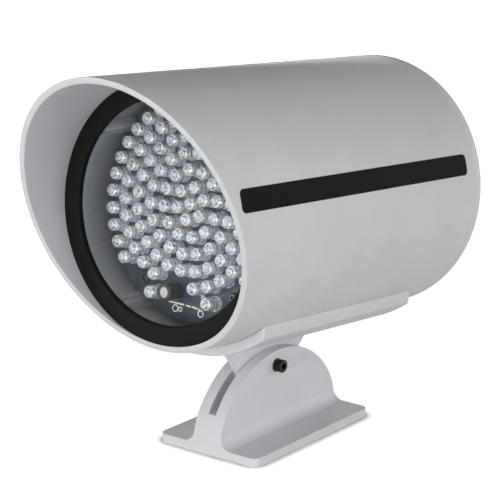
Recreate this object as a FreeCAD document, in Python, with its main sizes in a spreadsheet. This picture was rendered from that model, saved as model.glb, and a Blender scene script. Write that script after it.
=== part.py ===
import FreeCAD
import Part
import Sketcher
import math
import os

# Infrared illuminator: a tubular lamp housing with a slanted sun hood, tilting in a forked foot.
# Millimetres. Origin at the middle of the foot's underside, +Z up, the window faces -Y,
# the hinge screw's head and the housing's side strip are on the +X side.
# Housing pieces are drawn on the tube's own axis, with Y = 0 at the front of the window,
# and are then carried into the tilted frame of the hinge.

V = FreeCAD.Vector

SIZES = {
    # forked foot
    "foot_width": 51.0,
    "foot_length": 80.4,
    "foot_thickness": 3.6,
    "fork_width": 14.0,
    "fork_height": 36.6,
    "fork_fillet": 5.0,
    "fork_side_radius": 25.0,
    "slot_width": 3.8,
    "slot_floor": 16.2,
    "foot_hole_radius": 2.1,
    "foot_hole_depth": 11.0,
    "foot_hole_spacing": 44.0,
    # hinge
    "hinge_height": 30.2,
    "hinge_forward": 2.0,
    "hinge_setback": 70.8,
    "saddle_rise": 11.95,
    "tilt": 5.0,
    "pin_radius": 1.5,
    "pin_fit": 0.02,
    "pin_play": 0.06,
    "screw_head_radius": 2.75,
    "screw_head_height": 3.0,
    "screw_socket_radius": 1.45,
    "screw_socket_depth": 1.5,
    "lock_washer_radius": 2.9,
    "lock_washer_thickness": 0.8,
    "lock_washer_split": 0.5,
    # small screws: overlap of head and shank, and the hexagon socket as shares of the head
    "screw_overlap": 0.5,
    "socket_share": 0.45,
    "socket_depth_share": 0.6,
    # saddle
    "saddle_front": 20.4,
    "saddle_length": 103.8,
    "saddle_half_width": 36.4,
    "saddle_thickness": 4.4,
    "tongue_thickness": 3.2,
    "tongue_half_top": 32.0,
    "tongue_half_corner": 20.5,
    "tongue_corner_rise": 1.0,
    "tongue_depth": 10.8,
    "saddle_screw_inset": 10.0,
    "saddle_screw_radius": 2.0,
    "saddle_screw_head": 3.8,
    "saddle_screw_tip_gap": 0.2,
    "saddle_screw_play": 0.1,
    # housing tube
    "tube_radius": 55.0,
    "tube_wall": 4.1,
    "rim_wall": 2.6,
    "tube_length": 141.8,
    "hood_reach": 20.7,
    "hood_angle": 21.5,
    "rear_seat": 6.0,
    "port_inset": 1.7,
    "port_radius": 3.0,
    "port_slot": 1.4,
    "port_upper_angle": 34.5,
    "port_lower_angle": -58.5,
    # window
    "ring_width": 7.8,
    "ring_thickness": 2.4,
    "glass_play": 0.1,
    "glass_thickness": 3.5,
    # light board
    "board_front": 21.6,
    "board_lean": 6.0,
    "board_play": 0.3,
    "board_thickness": 1.6,
    "port_clearance": 0.9,
    "high_screw_inset": 5.3,
    "high_screw_right_angle": 56.9,
    "high_screw_left_angle": 124.6,
    "low_screw_inset": 11.5,
    "low_screw_angle": 55.0,
    "board_screw_radius": 1.25,
    "board_screw_head": 2.2,
    "board_screw_rise": 1.7,
    "board_screw_length": 7.0,
    "board_screw_play": 0.1,
    "lamp_field_rise": 1.6,
    "lamp_radius": 2.7,
    "lamp_barrel": 6.1,
    "lamp_height": 8.5,
    "lamp_tip_radius": 1.2,
    "lamp_ring_pitch": 6.72,
    # parts below the light field
    "sensor_x": -6.4,
    "sensor_z": -35.0,
    "sensor_radius": 3.5,
    "sensor_height": 8.5,
    "cell_radius": 2.4,
    "cell_recess": 0.4,
    "cell_thickness": 0.6,
    "lens_x": 14.0,
    "lens_z": -36.1,
    "lens_radius": 2.7,
    "lens_height": 8.6,
    "lens_barrel": 6.1,
    "lens_flange_radius": 3.1,
    "lens_flange_thickness": 1.0,
    "lens_tip_radius": 1.3,
    # driver board
    "driver_front": 63.7,
    "driver_margin": 2.5,
    "driver_thickness": 1.6,
    "pillar_radius": 2.5,
    "pillar_overlap": 6.0,
    "capacitor_radius": 5.0,
    "capacitor_height": 12.5,
    "capacitor_x": -17.4,
    "capacitor_pitch": 12.4,
    "capacitor_z": 10.4,
    "terminal_x": 5.0,
    "terminal_z": -15.6,
    "terminal_width": 15.0,
    "terminal_height": 10.0,
    "terminal_depth": 8.0,
    "terminal_hole": 3.4,
    "terminal_hole_depth": 4.8,
    "terminal_hole_pitch": 6.9,
    # rear cover
    "cover_thickness": 4.3,
    "cover_edge": 1.0,
    "cover_play": 0.1,
    "spigot_wall": 7.3,
    "cover_screw_radius": 1.5,
    "cover_screw_play": 0.15,
    "cover_screw_head": 2.8,
    "cover_screw_rise": 2.2,
    "cover_screw_length": 14.0,
    # cable gland
    "gland_radius": 6.0,
    "gland_play": 0.1,
    "gland_bore": 4.2,
    "gland_hex_radius": 9.0,
    "gland_hex_height": 5.0,
    "gland_neck_radius": 6.6,
    "gland_neck_height": 7.5,
    "gland_thread_length": 9.0,
    "gland_washer_radius": 8.4,
    "gland_washer_thickness": 1.0,
    "locknut_radius": 8.6,
    "locknut_height": 3.0,
    "insert_radius": 5.4,
    "insert_rise": 0.5,
    "cable_bore": 3.1,
    "cap_radius": 8.0,
    "cap_height": 11.0,
    "cap_crown": 3.2,
    "cap_gap": 0.3,
}

# Distances that several pieces share, each from the sizes above.
TUBE_BORE = "(tube_radius - tube_wall)"
RIM_BORE = "(tube_radius - rim_wall)"
PORT_CIRCLE = "(tube_radius - tube_wall - port_inset)"
PORT_END = "(tube_length - rear_seat)"
WINDOW_SEAT = "(ring_thickness + glass_thickness)"
BOARD_BACK = "(board_front + board_thickness)"
HIGH_SCREW_CIRCLE = "(tube_radius - tube_wall - high_screw_inset)"
LOW_SCREW_CIRCLE = "(tube_radius - tube_wall - low_screw_inset)"
HINGE_DROP = "(tube_radius + saddle_thickness + saddle_rise)"
COVER_FACE = "(tube_length + cover_thickness)"
GLAND_SEAT = "(tube_length + cover_thickness + gland_washer_thickness)"

# Small or hidden round pieces have flat sides, because they repeat or are hardly seen.
LAMP_SIDE_COUNT = 6
SCREW_SIDE_COUNT = 8
FITTING_SIDE_COUNT = 20
SEAT_SIDE_COUNT = 48

doc = FreeCAD.newDocument("illuminator")
sheet = doc.addObject("Spreadsheet::Sheet", "sizes")
for row, (alias, number) in enumerate(SIZES.items(), start=1):
    sheet.set("A%d" % row, alias)
    sheet.set("B%d" % row, str(number))
    sheet.setAlias("B%d" % row, alias)
doc.recompute()


def rule(text):
    """Writes the sheet's name before every cell that a formula uses."""
    words = []
    word = ""
    for letter in text + " ":
        if letter.isalnum() or letter == "_" or letter == ".":
            word += letter
            continue
        words.append("sizes." + word if word in SIZES else word)
        words.append(letter)
        word = ""
    return "".join(words).strip()


def value(text):
    """The number that a formula gives now."""
    found = sheet.evalExpression(rule(text))
    return float(getattr(found, "Value", found))


def bind(piece, rules):
    """Ties properties of a piece to formulas over the sheet."""
    for name, text in rules.items():
        piece.setExpression(name, rule(text))


def label(piece, name):
    piece.Label = name
    return piece


def new(kind, name, rules, x="0", y="0", z="0"):
    """A primitive whose sizes and position follow the sheet."""
    piece = doc.addObject(kind, name)
    bind(piece, rules)
    bind(piece, {"Placement.Base.x": x, "Placement.Base.y": y, "Placement.Base.z": z})
    return piece


def rod(name, radius, start, end, x="0", z="0"):
    """A round bar along Y between two distances."""
    piece = doc.addObject("Part::Cylinder", name)
    piece.Placement = FreeCAD.Placement(V(), FreeCAD.Rotation(V(1, 0, 0), -90))
    bind(piece, {"Radius": radius, "Height": "(%s) - (%s)" % (end, start)})
    bind(piece, {"Placement.Base.x": x, "Placement.Base.y": start, "Placement.Base.z": z})
    return piece


def bar(name, radius, start, end, y="0", z="0"):
    """A round bar along X between two distances."""
    piece = doc.addObject("Part::Cylinder", name)
    piece.Placement = FreeCAD.Placement(V(), FreeCAD.Rotation(V(0, 1, 0), 90))
    bind(piece, {"Radius": radius, "Height": "(%s) - (%s)" % (end, start)})
    bind(piece, {"Placement.Base.x": start, "Placement.Base.y": y, "Placement.Base.z": z})
    return piece


def flat_rod(name, sides, radius, start, end, x="0", z="0"):
    """A bar with flat sides along Y between two distances."""
    piece = doc.addObject("Part::Prism", name)
    piece.Polygon = sides
    piece.Placement = FreeCAD.Placement(V(), FreeCAD.Rotation(V(1, 0, 0), -90))
    bind(piece, {"Circumradius": radius, "Height": "(%s) - (%s)" % (end, start)})
    bind(piece, {"Placement.Base.x": x, "Placement.Base.y": start, "Placement.Base.z": z})
    return piece


def block(name, width, depth, height, x, y, z):
    """A box along the axes, with its lowest corner at x, y, z."""
    return new("Part::Box", name, {"Length": width, "Width": depth, "Height": height}, x, y, z)


def cut(name, base, *tools):
    """Takes one or more tools out of a base."""
    piece = doc.addObject("Part::Cut", name)
    piece.Base = base
    piece.Tool = tools[0] if len(tools) == 1 else join(name + "_tools", *tools)
    return piece


def join(name, *pieces):
    """One solid made of several that overlap or touch."""
    piece = doc.addObject("Part::MultiFuse", name)
    piece.Shapes = list(pieces)
    return piece


def overlap(name, *pieces):
    """What several solids share."""
    piece = doc.addObject("Part::MultiCommon", name)
    piece.Shapes = list(pieces)
    return piece


def group(name, pieces):
    """Several equal pieces that stay separate solids."""
    piece = doc.addObject("Part::Compound", name)
    piece.Links = list(pieces)
    return piece


def carry_to_hinge(piece):
    """Takes a piece from the tube's own frame into the tilted frame of the hinge."""
    if piece.TypeId in ("Part::Cylinder", "Part::Box", "Part::Prism"):
        piece = group(piece.Name + "_piece", [piece])
    piece.Placement = FreeCAD.Placement(V(), FreeCAD.Rotation(V(-1, 0, 0), SIZES["tilt"]))
    bind(piece, {
        "Placement.Rotation.Angle": "tilt",
        "Placement.Base.y": HINGE_DROP + " * sin(tilt) - hinge_setback * cos(tilt) - hinge_forward",
        "Placement.Base.z": "hinge_height + hinge_setback * sin(tilt) + %s * cos(tilt)" % HINGE_DROP,
    })
    return piece


def lean_with_board(piece):
    """Leans a piece with the light board, about the middle of the board's front."""
    leaning = group(piece.Name + "_leaning", [piece])
    leaning.Placement = FreeCAD.Placement(V(), FreeCAD.Rotation(V(-1, 0, 0), SIZES["board_lean"]))
    bind(leaning, {
        "Placement.Rotation.Angle": "board_lean",
        "Placement.Base.y": "board_front * (1 - cos(board_lean))",
        "Placement.Base.z": "board_front * sin(board_lean)",
    })
    return leaning


def carry_with_board(piece):
    """Takes a piece drawn square to the tube onto the leaning board and then to the hinge."""
    return carry_to_hinge(group(piece.Name + "_on_board", [lean_with_board(piece)]))


def plane_of(body, role):
    """One of a body's own origin planes."""
    return next(item for item in body.Origin.OriginFeatures if item.Role == role)


def start_sketch(body, name, role):
    sketch = body.newObject("Sketcher::SketchObject", name)
    sketch.AttachmentSupport = [(plane_of(body, role), "")]
    sketch.MapMode = "FlatFace"
    return sketch


def fix_point(sketch, curve, end, across, up, name):
    """Holds one point of a sketch at two formulas' distances from its origin."""
    for text, kind, axis, tail in ((across, "DistanceX", -2, "x"), (up, "DistanceY", -1, "y")):
        if abs(value(text)) < 1e-9:
            sketch.addConstraint(Sketcher.Constraint("PointOnObject", curve, end, axis))
            continue
        number = sketch.addConstraint(Sketcher.Constraint(kind, -1, 1, curve, end, value(text)))
        sketch.renameConstraint(number, name + tail)
        sketch.setExpression("Constraints." + name + tail, rule(text))


def arc_between(first, last, radius, side):
    """The shorter arc between two points, and whether it starts at the first of them."""
    chord = last - first
    middle = (first + last) * 0.5
    normal = V(-chord.y, chord.x, 0).normalize()
    rise = math.sqrt(max(radius ** 2 - (chord.Length / 2) ** 2, 0.0))
    centre = middle + normal * rise * side
    begin, finish = (first, last) if side > 0 else (last, first)
    angles = [math.atan2(p.y - centre.y, p.x - centre.x) for p in (begin, finish)]
    if angles[1] < angles[0]:
        angles[1] += 2 * math.pi
    return Part.ArcOfCircle(Part.Circle(centre, V(0, 0, 1), radius), *angles), side > 0


def draw_outline(sketch, corners, arcs=None):
    """A closed outline through corners given as formulas; arcs maps an edge to radius and side."""
    arcs = arcs or {}
    points = [V(value(a), value(b), 0) for a, b in corners]
    ends = []
    for number, first in enumerate(points):
        last = points[(number + 1) % len(points)]
        if number in arcs:
            radius, side = arcs[number]
            shape, forward = arc_between(first, last, value(radius), side)
            curve = sketch.addGeometry(shape, False)
            ends.append((curve, 1, 2) if forward else (curve, 2, 1))
        else:
            curve = sketch.addGeometry(Part.LineSegment(first, last), False)
            ends.append((curve, 1, 2))
    for number, (curve, begin, finish) in enumerate(ends):
        following = ends[(number + 1) % len(ends)]
        sketch.addConstraint(Sketcher.Constraint("Coincident", curve, finish, following[0], following[1]))
    for number, (across, up) in enumerate(corners):
        fix_point(sketch, ends[number][0], ends[number][1], across, up, "p%d" % number)
    for number, (radius, side) in arcs.items():
        name = "r%d" % number
        place = sketch.addConstraint(Sketcher.Constraint("Radius", ends[number][0], value(radius)))
        sketch.renameConstraint(place, name)
        sketch.setExpression("Constraints." + name, rule(radius))
    return sketch


def draw_circle(sketch, radius, across="0", up="0", tag="c"):
    """A circle whose radius and centre follow formulas."""
    centre = V(value(across), value(up), 0)
    curve = sketch.addGeometry(Part.Circle(centre, V(0, 0, 1), value(radius)), False)
    place = sketch.addConstraint(Sketcher.Constraint("Radius", curve, value(radius)))
    sketch.renameConstraint(place, tag + "r")
    sketch.setExpression("Constraints." + tag + "r", rule(radius))
    fix_point(sketch, curve, 3, across, up, tag)
    return sketch


def feature(body, kind, name, sketch, length=None, both=True, reverse=False):
    """Pads or pockets a sketch by a formula's length, or pockets it right through."""
    step = body.newObject(kind, name)
    step.Profile = sketch
    step.Midplane = both
    step.Reversed = reverse
    if length is None:
        step.Type = "ThroughAll"
    else:
        bind(step, {"Length": length})
    doc.recompute()
    return step


def mounting_foot():
    """Foot plate and two ears from one T-shaped bar, arched, slotted and bored."""
    body = label(doc.addObject("PartDesign::Body", "foot"), "mounting_foot")
    half = "foot_width / 2"
    ear = "fork_width / 2"
    shoulder = "fork_width / 2 + fork_fillet"
    section = draw_outline(start_sketch(body, "foot_section", "XZ_Plane"), [
        ("-(%s)" % half, "0"),
        (half, "0"),
        (half, "foot_thickness"),
        (shoulder, "foot_thickness"),
        (ear, "foot_thickness + fork_fillet"),
        (ear, "fork_height"),
        ("-(%s)" % ear, "fork_height"),
        ("-(%s)" % ear, "foot_thickness + fork_fillet"),
        ("-(%s)" % shoulder, "foot_thickness"),
        ("-(%s)" % half, "foot_thickness"),
    ], {3: ("fork_fillet", -1), 7: ("fork_fillet", -1)})
    feature(body, "PartDesign::Pad", "foot_bar", section, "foot_length")
    # The ears' arch is made of three arcs: a large one on top, and a small one at either end
    # that starts upright at the foot plate's edge.
    span = "foot_length / 2"
    rise = "(fork_height - foot_thickness)"
    side = "fork_side_radius"
    crown = "((%s)^2 + %s^2 - foot_length * %s) / (2 * (%s - %s))" % (span, rise, side, rise, side)
    knee_y = "(%s) * (%s - %s) / ((%s) - %s)" % (crown, span, side, crown, side)
    share = "((%s) - %s) / ((%s) - %s)" % (crown, rise, crown, side)
    knee_z = "fork_height - (%s) + (%s) * %s" % (crown, crown, share)
    over = "fork_height + 5"
    beyond = "foot_length / 2 + 5"
    arch = draw_outline(start_sketch(body, "arch_outline", "YZ_Plane"), [
        (span, "foot_thickness"),
        (knee_y, knee_z),
        ("-(%s)" % knee_y, knee_z),
        ("-(%s)" % span, "foot_thickness"),
        ("-(%s)" % beyond, "foot_thickness"),
        ("-(%s)" % beyond, over),
        (beyond, over),
        (beyond, "foot_thickness"),
    ], {0: (side, 1), 1: (crown, 1), 2: (side, 1)})
    feature(body, "PartDesign::Pocket", "arch_cut", arch)
    slot = draw_outline(start_sketch(body, "slot_outline", "XZ_Plane"), [
        ("-slot_width / 2", "slot_floor"),
        ("slot_width / 2", "slot_floor"),
        ("slot_width / 2", over),
        ("-slot_width / 2", over),
    ])
    feature(body, "PartDesign::Pocket", "slot_cut", slot)
    bore = start_sketch(body, "bore_outline", "YZ_Plane")
    draw_circle(bore, "pin_radius + pin_fit", "-hinge_forward", "hinge_height")
    feature(body, "PartDesign::Pocket", "bore_cut", bore)
    holes = start_sketch(body, "foot_holes", "XY_Plane")
    draw_circle(holes, "foot_hole_radius", "0", "foot_hole_spacing / 2", "a")
    draw_circle(holes, "foot_hole_radius", "0", "-foot_hole_spacing / 2", "b")
    feature(body, "PartDesign::Pocket", "foot_hole_cut", holes, "foot_hole_depth", False, True)
    return body


def hinge_screw():
    """Socket-head screw through both ears and the tongue."""
    under = "fork_width / 2 + lock_washer_thickness"
    top = under + " + screw_head_height"
    tip = "-fork_width / 2 + screw_overlap"
    head = bar("pin_head", "screw_head_radius", under, top, "-hinge_forward", "hinge_height")
    shank = bar("pin_shank", "pin_radius", tip, under + " + screw_overlap", "-hinge_forward", "hinge_height")
    socket = doc.addObject("Part::Prism", "pin_socket")
    socket.Polygon = 6
    socket.Placement = FreeCAD.Placement(V(), FreeCAD.Rotation(V(0, 1, 0), 90))
    bind(socket, {
        "Circumradius": "screw_socket_radius",
        "Height": "screw_socket_depth + 1",
        "Placement.Base.x": top + " - screw_socket_depth",
        "Placement.Base.y": "-hinge_forward",
        "Placement.Base.z": "hinge_height",
    })
    return label(cut("pin_screw", join("pin_blank", head, shank), socket), "hinge_screw")


def hinge_lock_washer():
    """Split spring washer under the hinge screw's head."""
    start = "fork_width / 2"
    end = start + " + lock_washer_thickness"
    disc = bar("washer_disc", "lock_washer_radius", start, end, "-hinge_forward", "hinge_height")
    hole = bar("washer_hole", "pin_radius + pin_fit", start + " - 1", end + " + 1",
               "-hinge_forward", "hinge_height")
    split = block("washer_split", "lock_washer_thickness + 2", "lock_washer_split", "lock_washer_radius + 1",
                  start + " - 1", "-hinge_forward - lock_washer_split / 2", "hinge_height")
    return label(cut("washer", disc, hole, split), "hinge_lock_washer")


SADDLE_SCREWS = {
    "front": "saddle_front + saddle_screw_inset",
    "back": "saddle_front + saddle_length - saddle_screw_inset",
}


def saddle_bracket():
    """Curved plate under the tube with the tongue that turns in the fork."""
    body = label(doc.addObject("PartDesign::Body", "saddle"), "saddle_bracket")
    inner = "tube_radius"
    outer = "(tube_radius + saddle_thickness)"
    half = "saddle_half_width"
    section = start_sketch(body, "saddle_section", "XZ_Plane")
    bind(section, {"AttachmentOffset.Base.z": "-saddle_front - saddle_length"})
    draw_outline(section, [
        (half, "-sqrt(%s^2 - %s^2)" % (inner, half)),
        ("-" + half, "-sqrt(%s^2 - %s^2)" % (inner, half)),
        ("-" + half, "-sqrt(%s^2 - %s^2)" % (outer, half)),
        (half, "-sqrt(%s^2 - %s^2)" % (outer, half)),
    ], {0: (inner, -1), 2: (outer, 1)})
    feature(body, "PartDesign::Pad", "saddle_plate", section, "saddle_length", False)
    centre = "hinge_setback"
    top = "-tube_radius - saddle_thickness / 2"
    corner = "-%s + tongue_corner_rise" % HINGE_DROP
    sagitta = "(tongue_depth + tongue_corner_rise)"
    tongue = draw_outline(start_sketch(body, "tongue_outline", "YZ_Plane"), [
        (centre + " + tongue_half_top", top),
        (centre + " - tongue_half_top", top),
        (centre + " - tongue_half_corner", corner),
        (centre + " + tongue_half_corner", corner),
    ], {2: ("(tongue_half_corner^2 + %s^2) / (2 * %s)" % (sagitta, sagitta), 1)})
    feature(body, "PartDesign::Pad", "tongue_plate", tongue, "tongue_thickness")
    bore = start_sketch(body, "tongue_bore", "YZ_Plane")
    draw_circle(bore, "pin_radius + pin_play", centre, "-" + HINGE_DROP)
    feature(body, "PartDesign::Pocket", "tongue_bore_cut", bore)
    holes = start_sketch(body, "saddle_holes", "XY_Plane")
    for end, place in SADDLE_SCREWS.items():
        draw_circle(holes, "saddle_screw_radius + saddle_screw_play", "0", place, end)
    feature(body, "PartDesign::Pocket", "saddle_hole_cut", holes)
    for end, place in SADDLE_SCREWS.items():
        sink = body.newObject("PartDesign::SubtractiveCone", "saddle_sink_" + end)
        bind(sink, {
            "Radius1": "saddle_screw_head + saddle_screw_play",
            "Radius2": "saddle_screw_radius + saddle_screw_play",
            "Height": "saddle_screw_head - saddle_screw_radius",
            "Placement.Base.y": place,
            "Placement.Base.z": "-tube_radius - saddle_thickness",
        })
        doc.recompute()
    return carry_to_hinge(body)


def saddle_screws():
    """Two flat-head screws up through the saddle into the tube."""
    screws = []
    face = "-tube_radius - saddle_thickness"
    for end, place in SADDLE_SCREWS.items():
        head = new("Part::Cone", "saddle_head_" + end, {
            "Radius1": "saddle_screw_head",
            "Radius2": "saddle_screw_radius",
            "Height": "saddle_screw_head - saddle_screw_radius",
        }, "0", place, face)
        shank = new("Part::Prism", "saddle_shank_" + end, {
            "Circumradius": "saddle_screw_radius",
            "Height": "saddle_thickness + tube_wall - saddle_screw_tip_gap",
        }, "0", place, face)
        shank.Polygon = SCREW_SIDE_COUNT
        recess = new("Part::Prism", "saddle_recess_" + end, {
            "Circumradius": "saddle_screw_head * socket_share",
            "Height": "saddle_screw_radius + 1",
        }, "0", place, face + " - 1")
        recess.Polygon = 6
        screws.append(cut("saddle_screw_" + end, join("saddle_blank_" + end, head, shank), recess))
    return label(carry_to_hinge(group("saddle_screw_pair", screws)), "saddle_screws")


def port_places():
    """The four screw ports' distances from the tube's axis, as pairs of formulas."""
    places = []
    for angle in ("port_upper_angle", "port_lower_angle"):
        for turned in (angle, "(180 - %s)" % angle):
            places.append((PORT_CIRCLE + " * cos(%s)" % turned, PORT_CIRCLE + " * sin(%s)" % turned, turned))
    return places


def board_screw_places():
    """The four board screws' distances from the middle of the board, as pairs of formulas."""
    places = []
    for circle, angle in ((HIGH_SCREW_CIRCLE, "high_screw_right_angle"),
                          (HIGH_SCREW_CIRCLE, "high_screw_left_angle"),
                          (LOW_SCREW_CIRCLE, "(180 + low_screw_angle)"),
                          (LOW_SCREW_CIRCLE, "(-low_screw_angle)")):
        places.append((circle + " * cos(%s)" % angle, circle + " * sin(%s)" % angle))
    return places


def housing_tube():
    """Extruded tube with four screw ports, bored at both ends and cut slantwise into a hood."""
    front = "-hood_reach - tube_radius"
    outside = rod("tube_outside", "tube_radius", front, "tube_length")
    inside = rod("tube_inside", TUBE_BORE, front + " - 1", "tube_length + 1")
    wall = cut("tube_wall_blank", outside, inside)
    bores = []
    ports = []
    for number, (across, up, turned) in enumerate(port_places()):
        ports.append(flat_rod("port_%d" % number, FITTING_SIDE_COUNT, "port_radius",
                              WINDOW_SEAT, PORT_END, across, up))
        bores.append(flat_rod("port_bore_%d" % number, SCREW_SIDE_COUNT, "cover_screw_radius",
                              WINDOW_SEAT + " - 1", PORT_END + " + 1", across, up))
        slot = new("Part::Box", "port_slot_%d" % number, {
            "Length": "port_radius + 1",
            "Width": "%s - %s + 2" % (PORT_END, WINDOW_SEAT),
            "Height": "port_slot",
        })
        slot.Placement = FreeCAD.Placement(V(), FreeCAD.Rotation(V(0, -1, 0), 180))
        bind(slot, {
            "Placement.Rotation.Angle": turned + " + 180",
            "Placement.Base.x": across + " + port_slot / 2 * sin(%s)" % (turned + " + 180"),
            "Placement.Base.y": WINDOW_SEAT + " - 1",
            "Placement.Base.z": up + " - port_slot / 2 * cos(%s)" % (turned + " + 180"),
        })
        bores.append(slot)
    inner_limit = rod("port_limit", TUBE_BORE + " + 1", WINDOW_SEAT, PORT_END)
    port_group = overlap("ports_inside", join("ports", *ports), inner_limit)
    body = join("tube_with_ports", wall, port_group)
    front_bore = rod("rim_bore_rod", RIM_BORE, front + " - 1", WINDOW_SEAT)
    rear_bore = rod("rear_bore_rod", RIM_BORE, PORT_END, "tube_length + 1")
    slant = new("Part::Box", "hood_slant", {
        "Length": "4 * tube_radius",
        "Width": "4 * tube_radius",
        "Height": "4 * tube_radius",
    })
    slant.Placement = FreeCAD.Placement(V(), FreeCAD.Rotation(V(1, 0, 0), SIZES["hood_angle"]))
    bind(slant, {
        "Placement.Rotation.Angle": "hood_angle",
        "Placement.Base.x": "-2 * tube_radius",
        "Placement.Base.y": "-hood_reach - 2 * tube_radius * (2 * cos(hood_angle) - sin(hood_angle))",
        "Placement.Base.z": "-4 * tube_radius * sin(hood_angle) - 2 * tube_radius * cos(hood_angle)",
    })
    for end, place in SADDLE_SCREWS.items():
        bores.append(new("Part::Cylinder", "saddle_tap_" + end, {
            "Radius": "saddle_screw_radius",
            "Height": "tube_wall + 4",
        }, "0", place, "-tube_radius - 2"))
    return label(carry_to_hinge(cut("tube", body, front_bore, rear_bore, slant, *bores)), "housing_tube")


def window_ring():
    """Black ring in the rim bore that holds and seals the glass."""
    outer = flat_rod("ring_outside", SEAT_SIDE_COUNT, RIM_BORE, "0", "ring_thickness")
    inner = flat_rod("ring_inside", SEAT_SIDE_COUNT, RIM_BORE + " - ring_width", "-1", "ring_thickness + 1")
    return label(carry_to_hinge(cut("ring", outer, inner)), "window_ring")


def window_glass():
    """Round window between the ring and the shoulder in the tube."""
    glass = flat_rod("glass", SEAT_SIDE_COUNT, RIM_BORE + " - glass_play", "ring_thickness", WINDOW_SEAT)
    return label(carry_to_hinge(glass), "window_glass")


def led_board():
    """Round board that leans back and passes round the four screw ports, with four screw holes."""
    tools = []
    for number, (across, up, turned) in enumerate(port_places()):
        tools.append(flat_rod("board_notch_%d" % number, SCREW_SIDE_COUNT, "port_radius + port_clearance",
                              "board_front - 1", BOARD_BACK + " + 1", across, up))
    for number, (across, up) in enumerate(board_screw_places()):
        tools.append(flat_rod("board_hole_%d" % number, SCREW_SIDE_COUNT,
                              "board_screw_radius + board_screw_play",
                              "board_front - 1", BOARD_BACK + " + 1", across, up))
    blank = flat_rod("board_blank", SEAT_SIDE_COUNT, TUBE_BORE + " - board_play", "board_front", BOARD_BACK)
    return label(carry_with_board(cut("board", blank, *tools)), "led_board")


def board_screws():
    """Four pan-head screws that hold the light board to the pillars behind it."""
    screws = []
    for number, (across, up) in enumerate(board_screw_places()):
        head = flat_rod("board_head_%d" % number, SCREW_SIDE_COUNT, "board_screw_head",
                        "board_front - board_screw_rise", "board_front", across, up)
        shank = flat_rod("board_shank_%d" % number, SCREW_SIDE_COUNT, "board_screw_radius",
                         "board_front - screw_overlap", "board_front + board_screw_length", across, up)
        recess = flat_rod("board_recess_%d" % number, 6, "board_screw_head * socket_share",
                          "board_front - board_screw_rise - 1",
                          "board_front - board_screw_rise * (1 - socket_depth_share)", across, up)
        blank = join("board_screw_blank_%d" % number, head, shank)
        screws.append(cut("board_screw_%d" % number, blank, recess))
    return label(carry_with_board(group("board_screw_set", screws)), "board_screws")


# Rings of lamps about the middle one: ring number, lamps in a full ring, angle of the first lamp,
# and the two angles between which the ring is left open for the sensor and the lens.
LAMP_RINGS = (
    (0, 1, 0.0, (0.0, 0.0)),
    (1, 6, 20.0, (0.0, 0.0)),
    (2, 12, 12.0, (0.0, 0.0)),
    (3, 18, 7.4, (0.0, 0.0)),
    (4, 24, 13.3, (0.0, 0.0)),
    (5, 30, 4.7, (250.0, 276.0)),
    (6, 36, 0.8, (222.0, 312.0)),
    (6.08, 1, 248.4, (0.0, 0.0)),
)


def lamp_places():
    """Where the lamps stand on the board: rings about one in the middle, open at the bottom."""
    pitch = value("lamp_ring_pitch")
    middle = value("lamp_field_rise")
    places = []
    for ring, count, first, (gap_start, gap_end) in LAMP_RINGS:
        for step in range(int(count)):
            angle = first + step * 360.0 / count
            if not gap_start < angle < gap_end:
                turned = math.radians(angle)
                places.append((ring * pitch * math.cos(turned), ring * pitch * math.sin(turned) + middle))
    return places


def stepped_solid(steps, sides, across, up):
    """A flat-sided solid along Y through steps of radius and distance, both given as formulas."""
    loops = []
    for radius, along in steps:
        loop = []
        for corner in range(sides):
            turned = 2 * math.pi * (corner + 0.5) / sides
            loop.append(V(across + value(radius) * math.cos(turned), value(along),
                          up + value(radius) * math.sin(turned)))
        loops.append(loop)
    outlines = [loops[0], loops[-1]]
    for low, high in zip(loops, loops[1:]):
        for corner in range(sides):
            following = (corner + 1) % sides
            outlines.append([low[corner], low[following], high[following], high[corner]])
    faces = [Part.Face(Part.makePolygon(outline + outline[:1])) for outline in outlines]
    solid = Part.makeSolid(Part.makeShell(faces))
    if solid.Volume < 0:
        solid.reverse()
    return solid


def led_array():
    """All the lamps of the light board as one group: flat-sided barrels with tapered tips."""
    steps = (
        ("lamp_radius", "board_front"),
        ("lamp_radius", "board_front - lamp_barrel"),
        ("lamp_tip_radius", "board_front - lamp_height"),
    )
    solids = [stepped_solid(steps, LAMP_SIDE_COUNT, across, up) for across, up in lamp_places()]
    lamps = doc.addObject("Part::Feature", "lamps")
    lamps.Shape = Part.makeCompound(solids)
    return label(carry_with_board(lamps), "led_array")


def light_sensor_case():
    """Round case of the daylight sensor, with a shallow well in its face."""
    start = "board_front - sensor_height"
    case = flat_rod("sensor_blank", FITTING_SIDE_COUNT, "sensor_radius", start, "board_front",
                    "sensor_x", "sensor_z")
    well = flat_rod("sensor_well", FITTING_SIDE_COUNT, "cell_radius", start + " - 1",
                    start + " + cell_recess + cell_thickness", "sensor_x", "sensor_z")
    return label(carry_with_board(cut("sensor_case", case, well)), "light_sensor_case")


def light_sensor_cell():
    """Pale light-sensitive disc in the sensor's well."""
    start = "board_front - sensor_height + cell_recess"
    cell = flat_rod("sensor_cell", FITTING_SIDE_COUNT, "cell_radius", start, start + " + cell_thickness",
                    "sensor_x", "sensor_z")
    return label(carry_with_board(cell), "light_sensor_cell")


def receiver_lens():
    """Flanged clear lens that stands by itself beside the sensor."""
    steps = (
        ("lens_flange_radius", "board_front"),
        ("lens_flange_radius", "board_front - lens_flange_thickness"),
        ("lens_radius", "board_front - lens_flange_thickness"),
        ("lens_radius", "board_front - lens_barrel"),
        ("lens_tip_radius", "board_front - lens_height"),
    )
    lens = doc.addObject("Part::Feature", "lens")
    lens.Shape = stepped_solid(steps, FITTING_SIDE_COUNT, value("lens_x"), value("lens_z"))
    return label(carry_with_board(lens), "receiver_lens")


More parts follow.
